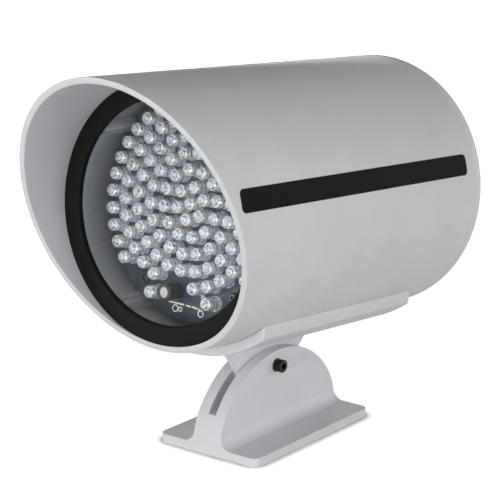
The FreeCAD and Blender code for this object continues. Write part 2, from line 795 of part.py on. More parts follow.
def driver_pillars():
    """Four hexagonal pillars from the leaning light board to the driver board, bored for its screws."""
    reach = "2 * tube_radius"
    front = lean_with_board(block("pillar_limit", reach, "tube_radius + board_thickness", reach,
                                  "-tube_radius", "board_front - tube_radius", "-tube_radius"))
    # Each pillar stands where its leaning screw is halfway along its bore.
    sag = "(board_thickness + board_screw_length) / 2 * sin(board_lean)"
    pillars = []
    for number, (across, up) in enumerate(board_screw_places()):
        pillar = flat_rod("pillar_blank_%d" % number, 6, "pillar_radius", "board_front - pillar_overlap",
                          "driver_front", across, "%s * cos(board_lean) - %s" % (up, sag))
        bore = flat_rod("pillar_bore_%d" % number, SCREW_SIDE_COUNT, "board_screw_radius",
                        "board_front", "board_front + board_screw_length", across, up)
        pillars.append(cut("pillar_%d" % number, pillar, front, lean_with_board(bore)))
    return label(carry_to_hinge(group("pillar_set", pillars)), "driver_pillars")


def driver_board():
    """Rectangular board on the ends of the pillars."""
    half_width = "(driver_margin - %s * cos(high_screw_left_angle))" % HIGH_SCREW_CIRCLE
    top = "(driver_margin + %s * sin(high_screw_right_angle) * cos(board_lean))" % HIGH_SCREW_CIRCLE
    bottom = "(driver_margin + %s * sin(low_screw_angle) * cos(board_lean))" % LOW_SCREW_CIRCLE
    board = block("driver_blank", "2 * " + half_width, "driver_thickness", top + " + " + bottom,
                  "-" + half_width, "driver_front", "-" + bottom)
    return label(carry_to_hinge(board), "driver_board")


def driver_capacitors():
    """Two upright capacitors on the driver board."""
    start = "driver_front + driver_thickness"
    cans = []
    for number in range(2):
        cans.append(flat_rod("can_%d" % number, FITTING_SIDE_COUNT, "capacitor_radius", start,
                             start + " + capacitor_height",
                             "capacitor_x + capacitor_pitch * %d" % number, "capacitor_z"))
    return label(carry_to_hinge(group("can_pair", cans)), "driver_capacitors")


def terminal_block():
    """Two-way terminal on the driver board, with two square wire holes."""
    start = "driver_front + driver_thickness"
    mouth = start + " + terminal_depth"
    body = block("terminal_blank", "terminal_width", "terminal_depth", "terminal_height",
                 "terminal_x", start, "terminal_z")
    holes = []
    for number, side in enumerate(("-", "+")):
        holes.append(block("terminal_hole_%d" % number,
                           "terminal_hole", "terminal_hole_depth + 1", "terminal_hole",
                           "terminal_x + (terminal_width %s terminal_hole_pitch - terminal_hole) / 2" % side,
                           mouth + " - terminal_hole_depth",
                           "terminal_z + (terminal_height - terminal_hole) / 2"))
    return label(carry_to_hinge(cut("terminal", body, *holes)), "terminal_block")


def rear_cover():
    """Round cover with a spigot in the tube, screw holes and the cable hole."""
    spigot = RIM_BORE + " - cover_play"
    disc = rod("cover_disc", "tube_radius", "tube_length", COVER_FACE + " - cover_edge")
    edge = doc.addObject("Part::Cone", "cover_rim")
    edge.Placement = FreeCAD.Placement(V(), FreeCAD.Rotation(V(1, 0, 0), -90))
    bind(edge, {
        "Radius1": "tube_radius",
        "Radius2": "tube_radius - cover_edge",
        "Height": "cover_edge",
        "Placement.Base.y": COVER_FACE + " - cover_edge",
    })
    plug = flat_rod("cover_plug", SEAT_SIDE_COUNT, spigot, PORT_END, "tube_length")
    hollow = flat_rod("cover_hollow", SEAT_SIDE_COUNT, spigot + " - spigot_wall",
                      PORT_END + " - 1", "tube_length")
    rim = cut("cover_spigot", plug, hollow)
    tools = [flat_rod("cable_hole", FITTING_SIDE_COUNT, "gland_radius + gland_play",
                      PORT_END, COVER_FACE + " + 1")]
    for number, (across, up, angle) in enumerate(port_places()):
        tools.append(flat_rod("cover_hole_%d" % number, SCREW_SIDE_COUNT,
                              "cover_screw_radius + cover_screw_play",
                              PORT_END + " - 1", COVER_FACE + " + 1", across, up))
    return label(carry_to_hinge(cut("cover", join("cover_blank", disc, edge, rim), *tools)), "rear_cover")


def rear_cover_screws():
    """Four pan-head screws through the cover into the tube's screw ports."""
    screws = []
    for number, (across, up, angle) in enumerate(port_places()):
        head = flat_rod("cover_head_%d" % number, SCREW_SIDE_COUNT, "cover_screw_head",
                        COVER_FACE, COVER_FACE + " + cover_screw_rise", across, up)
        shank = flat_rod("cover_shank_%d" % number, SCREW_SIDE_COUNT, "cover_screw_radius",
                         COVER_FACE + " - cover_screw_length", COVER_FACE + " + screw_overlap", across, up)
        recess = flat_rod("cover_recess_%d" % number, 6, "cover_screw_head * socket_share",
                          COVER_FACE + " + cover_screw_rise * (1 - socket_depth_share)",
                          COVER_FACE + " + cover_screw_rise + 1", across, up)
        blank = join("cover_screw_blank_%d" % number, head, shank)
        screws.append(cut("cover_screw_%d" % number, blank, recess))
    return label(carry_to_hinge(group("cover_screw_set", screws)), "rear_cover_screws")


def gland_rod(name, radius, start, end):
    """A nearly round bar on the gland's axis."""
    return flat_rod(name, FITTING_SIDE_COUNT, radius, start, end)


def gland_washer():
    """Rubber washer between the cable gland and the cover."""
    disc = gland_rod("gland_washer_disc", "gland_washer_radius", COVER_FACE, GLAND_SEAT)
    hole = gland_rod("gland_washer_hole", "gland_radius + gland_play",
                     COVER_FACE + " - 1", GLAND_SEAT + " + 1")
    return label(carry_to_hinge(cut("gland_washer_cut", disc, hole)), "gland_washer")


def gland_body():
    """Hexagon, inner thread and outer neck of the cable gland in one piece."""
    hex_end = GLAND_SEAT + " + gland_hex_height"
    neck_end = hex_end + " + gland_neck_height"
    inner_end = GLAND_SEAT + " - gland_thread_length"
    flange = flat_rod("gland_hex", 6, "gland_hex_radius", GLAND_SEAT, hex_end)
    neck = gland_rod("gland_neck", "gland_neck_radius", GLAND_SEAT, neck_end)
    thread = gland_rod("gland_thread", "gland_radius", inner_end, GLAND_SEAT + " + 1")
    bore = gland_rod("gland_bore_rod", "gland_bore", inner_end + " - 1", neck_end + " + 1")
    seat = gland_rod("gland_seat_rod", "insert_radius", hex_end, neck_end + " + 1")
    blank = join("gland_blank", flange, neck, thread)
    return label(carry_to_hinge(cut("gland", blank, bore, seat)), "gland_body")


def gland_locknut():
    """Hexagon nut that holds the gland from inside the cover."""
    nut = flat_rod("locknut_hex", 6, "locknut_radius", "tube_length - locknut_height", "tube_length")
    hole = gland_rod("locknut_hole", "gland_radius", "tube_length - locknut_height - 1", "tube_length + 1")
    return label(carry_to_hinge(cut("locknut", nut, hole)), "gland_locknut")


def gland_insert():
    """Rubber sleeve that would close on the cable."""
    start = GLAND_SEAT + " + gland_hex_height"
    end = start + " + gland_neck_height + insert_rise"
    sleeve = gland_rod("insert_sleeve", "insert_radius", start, end)
    bore = rod("insert_bore", "cable_bore", start + " - 1", end + " + 1")
    return label(carry_to_hinge(cut("insert", sleeve, bore)), "gland_insert")


def gland_cap():
    """Hexagonal cap nut over the gland's neck, with a tapered crown."""
    start = GLAND_SEAT + " + gland_hex_height + cap_gap"
    crown = start + " + cap_height - cap_crown"
    end = start + " + cap_height"
    barrel = flat_rod("cap_barrel", 6, "cap_radius", start, crown)
    steps = (
        ("cap_radius * cos(30)", crown),
        ("cap_radius * cos(30) - cap_crown / 2", end),
    )
    dome = doc.addObject("Part::Feature", "cap_dome")
    dome.Shape = stepped_solid(steps, FITTING_SIDE_COUNT, 0.0, 0.0)
    hollow = gland_rod("cap_hollow", "gland_neck_radius", start + " - 1",
                       GLAND_SEAT + " + gland_hex_height + gland_neck_height + insert_rise")
    mouth = gland_rod("cap_mouth", "gland_bore", start, end + " + 1")
    return label(carry_to_hinge(cut("cap", join("cap_blank", barrel, dome), hollow, mouth)), "gland_cap")


PIECES = (
    mounting_foot,
    hinge_screw,
    hinge_lock_washer,
    saddle_bracket,
    saddle_screws,
    housing_tube,
    window_ring,
    window_glass,
    led_board,
    board_screws,
    led_array,
    light_sensor_case,
    light_sensor_cell,
    receiver_lens,
    driver_pillars,
    driver_board,
    driver_capacitors,
    terminal_block,
    rear_cover,
    rear_cover_screws,
    gland_washer,
    gland_body,
    gland_locknut,
    gland_insert,
    gland_cap,
)


def refuse_faults():
    """Stops when any object of the document failed to compute."""
    for item in doc.Objects:
        if "Invalid" in item.State or "Error" in item.State:
            raise RuntimeError("%s failed: %s" % (item.Label, item.State))
        if hasattr(item, "Shape") and item.TypeId.startswith("Part"):
            if item.Shape.isNull() or not item.Shape.isValid():
                raise RuntimeError("%s has no valid shape" % item.Label)


def main():
    built = [build() for build in PIECES]
    doc.recompute()
    refuse_faults()
    os.makedirs("parts", exist_ok=True)
    for piece in built:
        piece.Shape.exportStep("parts/%s.step" % piece.Label)


main()
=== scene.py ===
import math

import bmesh
import bpy
from mathutils import Matrix, Vector


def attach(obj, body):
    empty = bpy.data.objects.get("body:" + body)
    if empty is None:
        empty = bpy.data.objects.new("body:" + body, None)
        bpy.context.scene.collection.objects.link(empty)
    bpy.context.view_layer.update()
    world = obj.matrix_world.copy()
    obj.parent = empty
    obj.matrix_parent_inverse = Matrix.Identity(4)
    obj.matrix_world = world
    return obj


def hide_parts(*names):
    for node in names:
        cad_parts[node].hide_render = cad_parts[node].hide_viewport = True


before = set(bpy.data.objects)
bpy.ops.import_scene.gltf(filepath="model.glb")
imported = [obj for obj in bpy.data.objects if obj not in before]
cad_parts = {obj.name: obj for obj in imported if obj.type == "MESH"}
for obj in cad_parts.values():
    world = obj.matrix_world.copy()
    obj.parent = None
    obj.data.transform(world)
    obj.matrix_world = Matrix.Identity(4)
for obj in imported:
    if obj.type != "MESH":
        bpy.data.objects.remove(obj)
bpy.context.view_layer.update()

bl_info = {
    "name": "Infrared illuminator",
    "version": (1, 0, 0),
    "blender": (4, 5, 0),
    "location": "3D View > Sidebar > Illuminator",
    "description": "Builds the visible pieces of a tubular infrared illuminator over its packed solids",
    "category": "Object",
}

# The housing's pieces are made on the tube's own axis, with Y = 0 at the front of the window's ring
# and Y growing towards the cable gland, and are then tilted about the hinge. X is to the right for
# someone who looks into the window, and Z is up.

MM = 0.001
# These turn Z to lie along another axis.
ALONG_X = Matrix.Rotation(math.radians(90), 4, "Y")
ALONG_Y = Matrix.Rotation(math.radians(-90), 4, "X")
# Vertices nearer than MERGE become one. A vertex nearer than CLOSE to a line or a face lies on it.
MERGE = 1e-7
CLOSE = 1e-5


def length(name, millimetres, description):
    """A length that a user can change, stored in metres."""
    return bpy.props.FloatProperty(name=name, description=description, default=millimetres * MM,
                                   unit="LENGTH", precision=5)


def turn(name, degrees, description):
    """An angle that a user can change."""
    return bpy.props.FloatProperty(name=name, description=description, default=math.radians(degrees),
                                   subtype="ANGLE")


def colour(name, red, green, blue, description):
    """A colour that a user can change, as linear values."""
    return bpy.props.FloatVectorProperty(name=name, description=description, size=3, subtype="COLOR",
                                         min=0.0, max=1.0, default=(red, green, blue))


class IlluminatorHousing(bpy.types.PropertyGroup):
    """Sizes of the tube, its window and its rear end."""
    radius: length("Tube radius", 55.0, "Outside radius of the tube")
    bore: length("Bore", 50.9, "Radius of the bore behind the window")
    rim_bore: length("Rim bore", 52.4, "Radius of the bore at both ends")
    end: length("Tube end", 141.8, "Rear end of the tube behind the window's front")
    hood_reach: length("Hood reach", 20.7, "How far the hood stands forward at the tube's axis")
    hood_angle: turn("Hood angle", 21.5, "Lean of the hood's cut")
    seat: length("Window seat", 5.9, "Shoulder that the glass rests on")
    rear_seat: length("Rear seat", 135.8, "Where the rear bore begins")
    edge: length("Edge", 0.45, "Rounding of the hood's rim")
    port_circle: length("Port circle", 49.2, "Distance of the screw ports from the axis")
    port_radius: length("Port radius", 3.0, "Outside of a screw port")
    port_bore: length("Port bore", 1.5, "Inside of a screw port")
    port_upper: turn("Upper ports", 34.5, "Angle of the upper screw ports above the horizontal")
    port_lower: turn("Lower ports", -58.5, "Angle of the lower screw ports below the horizontal")
    ring_bore: length("Ring bore", 44.6, "Inside of the black ring")
    ring_thickness: length("Ring thickness", 2.4, "Thickness of the black ring")
    glass_radius: length("Glass radius", 52.3, "Radius of the window")
    cover_thickness: length("Cover thickness", 4.3, "Thickness of the rear cover")
    cover_edge: length("Cover edge", 1.0, "Rounding of the rear cover")
    strip_front: length("Strip front", -21.0, "Front end of the side strip")
    strip_back: length("Strip back", 134.9, "Rear end of the side strip")
    strip_low: turn("Strip low edge", 11.0, "Lower edge of the side strip around the tube")
    strip_high: turn("Strip high edge", 20.4, "Upper edge of the side strip around the tube")
    strip_corner: length("Strip corner", 2.2, "Rounded corners of the side strip")
    strip_film: length("Strip film", 0.12, "Thickness of the side strip")


class IlluminatorLamps(bpy.types.PropertyGroup):
    """Sizes of the light board and what stands on it."""
    board: length("Board", 21.6, "Front of the light board behind the ring's front, at its middle")
    lean: turn("Board lean", 6.0, "How far the light board leans back at the top")
    board_radius: length("Board radius", 48.0, "Outside radius of the light board")
    board_rise: length("Board rise", 2.2, "Middle of the light board over the tube's axis")
    board_thickness: length("Board thickness", 1.6, "Thickness of the light board")
    board_clearance: length("Board clearance", 0.9, "Play between the light board and the screw ports")
    radius: length("Lamp radius", 2.7, "Radius of a lamp's barrel")
    flange: length("Lamp flange", 2.95, "Radius of a lamp's foot")
    flange_height: length("Flange height", 1.0, "Height of a lamp's or the lens's foot")
    height: length("Lamp height", 8.5, "Height of a lamp over the board")
    pitch: length("Ring pitch", 6.72, "Distance from one ring of lamps to the next")
    rise: length("Field rise", 1.6, "Middle lamp over the board's middle")
    sensor_x: length("Sensor X", -6.4, "Light sensor across")
    sensor_z: length("Sensor Z", -35.0, "Light sensor up")
    sensor_radius: length("Sensor radius", 3.5, "Case of the light sensor")
    cell_radius: length("Cell radius", 2.4, "Pale face of the light sensor")
    lens_x: length("Lens X", 14.0, "Receiver lens across")
    lens_z: length("Lens Z", -36.1, "Receiver lens up")
    lens_radius: length("Lens radius", 2.7, "Radius of the receiver lens")
    lens_flange: length("Lens flange", 3.1, "Radius of the receiver lens's foot")
    lens_height: length("Lens height", 8.6, "Height of the receiver lens over the board")
    high_circle: length("High screw circle", 45.6, "Distance of the upper board screws from the middle")
    high_right: turn("High right screw", 56.9, "Angle of the upper right board screw")
    high_left: turn("High left screw", 124.6, "Angle of the upper left board screw")
    low_circle: length("Low screw circle", 39.4, "Distance of the lower board screws from the middle")
    low_angle: turn("Low screws", 55.0, "Angle of the lower board screws below the horizontal")


class IlluminatorMount(bpy.types.PropertyGroup):
    """Sizes of the saddle, the hinge and the foot."""
    tilt: turn("Tilt", 5.0, "How far the window looks up at rest")
    hinge_height: length("Hinge height", 30.2, "Hinge over the mounting surface")
    hinge_forward: length("Hinge forward", 2.0, "Hinge in front of the foot's middle")
    hinge_setback: length("Hinge setback", 70.8, "Hinge behind the window's front")
    hinge_drop: length("Hinge drop", 71.35, "Hinge under the tube's axis")
    saddle_front: length("Saddle front", 20.4, "Front edge of the saddle behind the window's front")
    saddle_length: length("Saddle length", 103.8, "Length of the saddle")
    saddle_half_width: length("Saddle half width", 36.4, "Half of the saddle's width")
    saddle_thickness: length("Saddle thickness", 4.4, "Thickness of the saddle")
    saddle_screw_inset: length("Saddle screw inset", 10.0, "A saddle screw from its end of the saddle")
    tongue_thickness: length("Tongue thickness", 3.2, "Thickness of the tongue")
    tongue_half_top: length("Tongue half top", 32.0, "Half of the tongue's length under the saddle")
    tongue_half_corner: length("Tongue half corner", 20.5, "Half of the tongue's length at its corners")
    tongue_corner_rise: length("Tongue corner rise", 1.0, "Tongue's corners over the hinge")
    tongue_depth: length("Tongue depth", 10.8, "How far the tongue reaches under the hinge")
    pin_radius: length("Pin radius", 1.5, "Radius of the hinge screw")
    foot_width: length("Foot width", 51.0, "Width of the foot plate")
    foot_length: length("Foot length", 80.4, "Length of the foot plate")
    foot_thickness: length("Foot thickness", 3.6, "Thickness of the foot plate")
    foot_corner: length("Foot corner", 3.2, "Rounding of the foot plate's upright corners")
    foot_chamfer: length("Foot chamfer", 0.35, "Chamfer along the foot plate's upper edge")
    foot_hole_radius: length("Foot hole radius", 2.1, "Radius of the two holes under the foot")
    foot_hole_spacing: length("Foot hole spacing", 44.0, "From one hole under the foot to the other")
    foot_hole_depth: length("Foot hole depth", 11.0, "Depth of the holes under the foot")
    fork_width: length("Fork width", 14.0, "Outside width of the two ears")
    fork_height: length("Fork height", 36.6, "Height of the ears")
    fork_fillet: length("Fork fillet", 5.0, "Fillet between the ears and the foot plate")
    fork_side: length("Ear side radius", 25.0, "Radius of the ears' outline near the foot plate")
    ear_edge: length("Ear edge", 1.5, "Rounding along the ears' outline")
    slot_width: length("Slot width", 3.8, "Slot between the ears")
    slot_floor: length("Slot floor", 16.2, "Bottom of the slot")


class IlluminatorColours(bpy.types.PropertyGroup):
    """Colours of the finishes."""
    paint: colour("Paint", 0.69, 0.70, 0.72, "Light grey paint of the housing, the saddle and the foot")
    black: colour("Black", 0.009, 0.010, 0.010, "Black ring, gland and strip")
    board: colour("Board", 0.027, 0.038, 0.055, "Solder mask of the light board")
    resin: colour("Resin", 0.79, 0.87, 1.0, "Clear resin of the lamps")
    cell: colour("Cell", 0.70, 0.58, 0.62, "Face of the light sensor")
    mark: colour("Mark", 0.85, 0.87, 0.88, "White marks on the light board")


def settings(group):
    """What the user has set in one group of sizes or colours."""
    return getattr(bpy.context.scene, "illuminator_" + group)


def hinge_place():
    """From the hinge's own axis to its place over the mounting surface."""
    mount = settings("mount")
    return Matrix.Translation((0.0, -mount.hinge_forward, mount.hinge_height))


def housing_place():
    """From the tube's own axis to its tilted place over the hinge."""
    mount = settings("mount")
    lean = Matrix.Rotation(-mount.tilt, 4, "X")
    return hinge_place() @ lean @ Matrix.Translation((0.0, -mount.hinge_setback, mount.hinge_drop))


def board_place():
    """From the light board drawn square to the tube to its leaning place."""
    lamps = settings("lamps")
    front = Matrix.Translation((0.0, lamps.board, 0.0))
    return housing_place() @ front @ Matrix.Rotation(-lamps.lean, 4, "X") @ front.inverted()


# Modelling

def verts_of(items):
    return [item for item in items if isinstance(item, bmesh.types.BMVert)]


def all_of(mesh):
    return mesh.verts[:] + mesh.edges[:] + mesh.faces[:]


def polar(radius, angle):
    """How far across and up a point lies."""
    return radius * math.cos(angle), radius * math.sin(angle)


def from_face(face, outline):
    """An outline of radius and distance from a face, given in millimetres."""
    return [(radius * MM, face + along * MM) for radius, along in outline]


def outline_in(mesh, points, closed=True):
    """A line of edges through points."""
    corners = [mesh.verts.new(point) for point in points]
    pairs = list(zip(corners, corners[1:]))
    if closed:
        pairs.append((corners[-1], corners[0]))
    return corners + [mesh.edges.new(pair) for pair in pairs]


def spin(mesh, items, angle, steps, axis=(0.0, 1.0, 0.0), centre=(0.0, 0.0, 0.0), merge=False):
    """Spins items about an axis, and gives what the last step made."""
    return bmesh.ops.spin(mesh, geom=items, cent=centre, axis=axis, angle=angle, steps=steps,
                          use_merge=merge)["geom_last"]


def turned(outline, steps, closed=True):
    """A round shape from an outline of radius and distance along Y."""
    mesh = bmesh.new()
    line = outline_in(mesh, [(radius, along, 0.0) for radius, along in outline], closed)
    spin(mesh, line, 2 * math.pi, steps, merge=True)
    bmesh.ops.remove_doubles(mesh, verts=mesh.verts, dist=MERGE)
    return mesh


def push(mesh, faces, path):
    """Gives flat faces a thickness along a path."""
    pushed = bmesh.ops.extrude_face_region(mesh, geom=faces)["geom"]
    bmesh.ops.translate(mesh, vec=path, verts=verts_of(pushed))
    bmesh.ops.recalc_face_normals(mesh, faces=mesh.faces)


def prism(mesh, points, path):
    """Adds a solid with flat ends from a closed outline pushed along a path."""
    push(mesh, [mesh.faces.new(verts_of(outline_in(mesh, points)))], path)
    return mesh


def cylinder(mesh, radius, depth, place, sides=32):
    """Adds a closed cylinder along the Z of its place."""
    bmesh.ops.create_cone(mesh, cap_ends=True, segments=sides, radius1=radius, radius2=radius,
                          depth=depth, matrix=place)
    return mesh


def rod(mesh, radius, start, end, across=0.0, up=0.0, sides=32):
    """Adds a closed bar along Y."""
    place = Matrix.Translation((across, (start + end) / 2, up)) @ ALONG_Y
    return cylinder(mesh, radius, abs(end - start), place, sides)


def sharp_edges(mesh, least=30.0):
    """Edges where two faces meet at more than an angle."""
    limit = math.radians(least)
    return [edge for edge in mesh.edges if edge.is_manifold and edge.calc_face_angle(0.0) > limit]


def edges_at(edges, test):
    """The edges with both ends where a test says."""
    return [edge for edge in edges if all(test(end.co) for end in edge.verts)]


def round_edges(mesh, edges, width, segments=3):
    bmesh.ops.bevel(mesh, geom=edges, offset=width, offset_type="OFFSET", affect="EDGES", segments=segments,
                    profile=0.5, material=-1, clamp_overlap=True)


def mesh_data(mesh, name):
    """Turns a finished bmesh into mesh data."""
    data = bpy.data.meshes.new(name)
    mesh.to_mesh(data)
    mesh.free()
    return data


def placed(name, data):
    """An object in the scene for some data."""
    item = bpy.data.objects.new(name, data)
    bpy.context.scene.collection.objects.link(item)
    return item


def carve(mesh, tool, operation="DIFFERENCE"):
    """Cuts a tool out of a mesh, joins it to it or keeps what both share."""
    made = []
    for number, shape in enumerate((mesh, tool)):
        bmesh.ops.recalc_face_normals(shape, faces=shape.faces)
        name = "carving_%d" % number
        made.append(placed(name, mesh_data(shape, name)))
    step = made[0].modifiers.new("carve", "BOOLEAN")
    step.operation = operation
    step.solver = "EXACT"
    step.object = made[1]
    graph = bpy.context.evaluated_depsgraph_get()
    result = bpy.data.meshes.new_from_object(made[0].evaluated_get(graph))
    carved = bmesh.new()
    carved.from_mesh(result)
    bpy.data.meshes.remove(result)
    for item in made:
        data = item.data
        bpy.data.objects.remove(item)
        bpy.data.meshes.remove(data)
    bmesh.ops.remove_doubles(carved, verts=carved.verts, dist=MERGE)
    return carved


def join(mesh, part):
    """Adds one mesh's geometry to another."""
    data = mesh_data(part, "part")
    mesh.from_mesh(data)
    bpy.data.meshes.remove(data)


def repeat_at(mesh, places):
    """Moves all that a mesh holds, made at the axis, to the first place, and copies to the others."""
    first = all_of(mesh)
    for place in places[1:]:
        copy = bmesh.ops.duplicate(mesh, geom=first)["geom"]
        bmesh.ops.translate(mesh, vec=place, verts=verts_of(copy))
    bmesh.ops.translate(mesh, vec=places[0], verts=verts_of(first))


def show(mesh, name, body, finishes, nodes=(), place=None, smooth=32.0):
    """Turns a finished mesh into a piece that rides on a body."""
    if place is not None:
        bmesh.ops.transform(mesh, matrix=place, verts=mesh.verts)
    bmesh.ops.recalc_face_normals(mesh, faces=mesh.faces)
    data = mesh_data(mesh, name)
    data.shade_smooth()
    data.set_sharp_from_angle(angle=math.radians(smooth))
    for build in finishes:
        data.materials.append(finish_of(build))
    piece = placed(name, data)
    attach(piece, body)
    if nodes:
        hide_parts(*nodes)
    return piece


def keep_flat(piece):
    """Lets the large flat faces set the shading where they run into a rounding."""
    flat = piece.modifiers.new("keep_flat", "WEIGHTED_NORMAL")
    flat.keep_sharp = True


# Nodes of the finishes

def finish_of(build):
    """The material that a function below builds, made once."""
    name = build.__name__.replace("_", " ")
    material = bpy.data.materials.get(name)
    if material is None:
        material = bpy.data.materials.new(name)
        material.use_nodes = True
        build(material.node_tree)
    return material


def feed(tree, target, sockets):
    """Links each named socket to a source, or gives it a constant."""
    for name, value in sockets.items():
        if isinstance(value, bpy.types.NodeSocket):
            tree.links.new(value, target.inputs[name])
        else:
            target.inputs[name].default_value = value


def add_node(tree, kind, sockets=None, **modes):
    """Adds a node, sets its modes and then feeds its sockets."""
    node = tree.nodes.new("ShaderNode" + kind)
    for name, mode in modes.items():
        setattr(node, name, mode)
    feed(tree, node, sockets or {})
    return node


def pattern(tree, kind, scale, stretch=(1.0, 1.0, 1.0), **values):
    """A texture on Object coordinates, turned to the tilted housing by a Mapping node."""
    place = add_node(tree, "TexCoord").outputs["Object"]
    level = (settings("mount").tilt, 0.0, 0.0)
    leaning = add_node(tree, "Mapping", {"Vector": place, "Rotation": level, "Scale": stretch})
    sockets = {name.title(): value for name, value in values.items()}
    return add_node(tree, kind, {"Vector": leaning.outputs["Vector"], "Scale": scale, **sockets})


def noise(tree, scale, detail, **values):
    """The grain that most finishes follow."""
    return pattern(tree, "TexNoise", scale, detail=detail, **values).outputs["Fac"]


def shade_of(tint, factor=1.0):
    """A tint made darker or lighter, as a colour with alpha."""
    return tuple(min(channel * factor, 1.0) for channel in tint) + (1.0,)


def shades(name, low, high):
    """A darker and a lighter shade of one of the user's colours."""
    tint = getattr(settings("colours"), name)
    return tuple(shade_of(tint, factor)[:3] for factor in (low, high))


def ramp(tree, source, low, high, start=0.0, end=1.0):
    """Maps a value between two colours or greys."""
    steps = add_node(tree, "ValToRGB", {"Fac": source})
    for element, place, tint in zip(steps.color_ramp.elements, (start, end), (low, high)):
        element.position = place
        element.color = shade_of(tint if isinstance(tint, tuple) else (tint, tint, tint))
    return steps.outputs["Color"]


def multiplied(tree, first, second):
    """One colour times another."""
    return add_node(tree, "Mix", {"Factor": 1.0, "A": first, "B": second}, data_type="RGBA",
                    blend_type="MULTIPLY").outputs["Result"]


def dress(tree, base, roughness, metallic=0.0, specular=0.5):
    """Sets the shader's main sockets, and gives the shader back."""
    shader = tree.nodes["Principled BSDF"]
    feed(tree, shader, {"Base Color": base, "Roughness": roughness, "Metallic": metallic,
                        "Specular IOR Level": specular})
    return shader


def relief(tree, source, strength, depth, normal=None):
    """Fine relief from a pattern, on the surface's own normal or another."""
    fine = add_node(tree, "Bump", {"Height": source, "Strength": strength, "Distance": depth * MM})
    if normal is not None:
        feed(tree, fine, {"Normal": normal})
    feed(tree, tree.nodes["Principled BSDF"], {"Normal": fine.outputs["Normal"]})


def grained(tree, grain, tints, roughness, span=(0.0, 1.0), depth=None, **sockets):
    """A finish whose colour follows a grain, as do its roughness where that is a pair, and its relief."""
    if isinstance(roughness, tuple):
        roughness = ramp(tree, grain, *roughness)
    shader = dress(tree, ramp(tree, grain, *tints, *span), roughness, **sockets)
    if depth is not None:
        relief(tree, grain, *depth)
    return shader


# Finishes

def paint(tree):
    """Light grey powder paint: a fine orange peel, faint clouds and paler worn edges."""
    clouds = noise(tree, 38.0, 5.0, roughness=0.55)
    edges = add_node(tree, "NewGeometry").outputs["Pointiness"]
    worn = add_node(tree, "Mix", {
        "Factor": ramp(tree, edges, 0.0, 0.22, 0.52, 0.60),
        "A": ramp(tree, clouds, *shades("paint", 0.965, 1.03), 0.3, 0.7),
        "B": shade_of(settings("colours").paint, 1.18),
    }, data_type="RGBA")
    peel = noise(tree, 1500.0, 2.0, roughness=0.5)
    dress(tree, worn.outputs["Result"], ramp(tree, peel, 0.46, 0.60), specular=0.14)
    relief(tree, peel, 0.22, 0.04)


def bare_bore(tree):
    """Satin bare aluminium of the bore behind the window, with fine drawn streaks along it."""
    streaks = noise(tree, 500.0, 4.0, roughness=0.6, stretch=(1.0, 0.04, 1.0))
    grained(tree, streaks, ((0.70, 0.71, 0.73), (0.78, 0.79, 0.81)), (0.48, 0.60), (0.3, 0.7), metallic=0.5)


def black_moulding(tree):
    """Matt black moulding with a fine spark-eroded grain."""
    grained(tree, noise(tree, 2400.0, 2.0), shades("black", 0.85, 1.25), (0.48, 0.62), depth=(0.25, 0.03),
            specular=0.06)


def black_rubber(tree):
    """Soft black rubber with a dusty bloom."""
    grained(tree, noise(tree, 320.0, 4.0), shades("black", 0.8, 1.7), (0.70, 0.85), (0.35, 0.75),
            depth=(0.15, 0.05))


def strip_vinyl(tree):
    """Smooth black vinyl of the strip along the tube."""
    grained(tree, noise(tree, 160.0, 3.0), shades("black", 0.7, 1.0), (0.42, 0.52), depth=(0.08, 0.06),
            specular=0.02)


def window_pane(tree):
    """Thin clear glass with the faintest dust."""
    dust = noise(tree, 90.0, 6.0, roughness=0.65)
    shader = grained(tree, dust, ((0.80, 0.84, 0.88), (0.88, 0.91, 0.94)), 0.03)
    feed(tree, shader, {"Alpha": ramp(tree, dust, 0.010, 0.022, 0.4, 0.8)})


def solder_mask(tree):
    """Dark solder mask with copper tracks showing faintly under it."""
    tracks = pattern(tree, "TexVoronoi", 190.0)
    tracks.feature = "DISTANCE_TO_EDGE"
    raised = ramp(tree, tracks.outputs["Distance"], 1.0, 0.0, 0.06, 0.10)
    grained(tree, raised, shades("board", 0.95, 1.3), 0.32, depth=(0.35, 0.05))


def board_edge(tree):
    """Green fibreglass of the driver board."""
    grained(tree, noise(tree, 900.0, 2.0), ((0.03, 0.12, 0.06), (0.05, 0.18, 0.09)), 0.4)


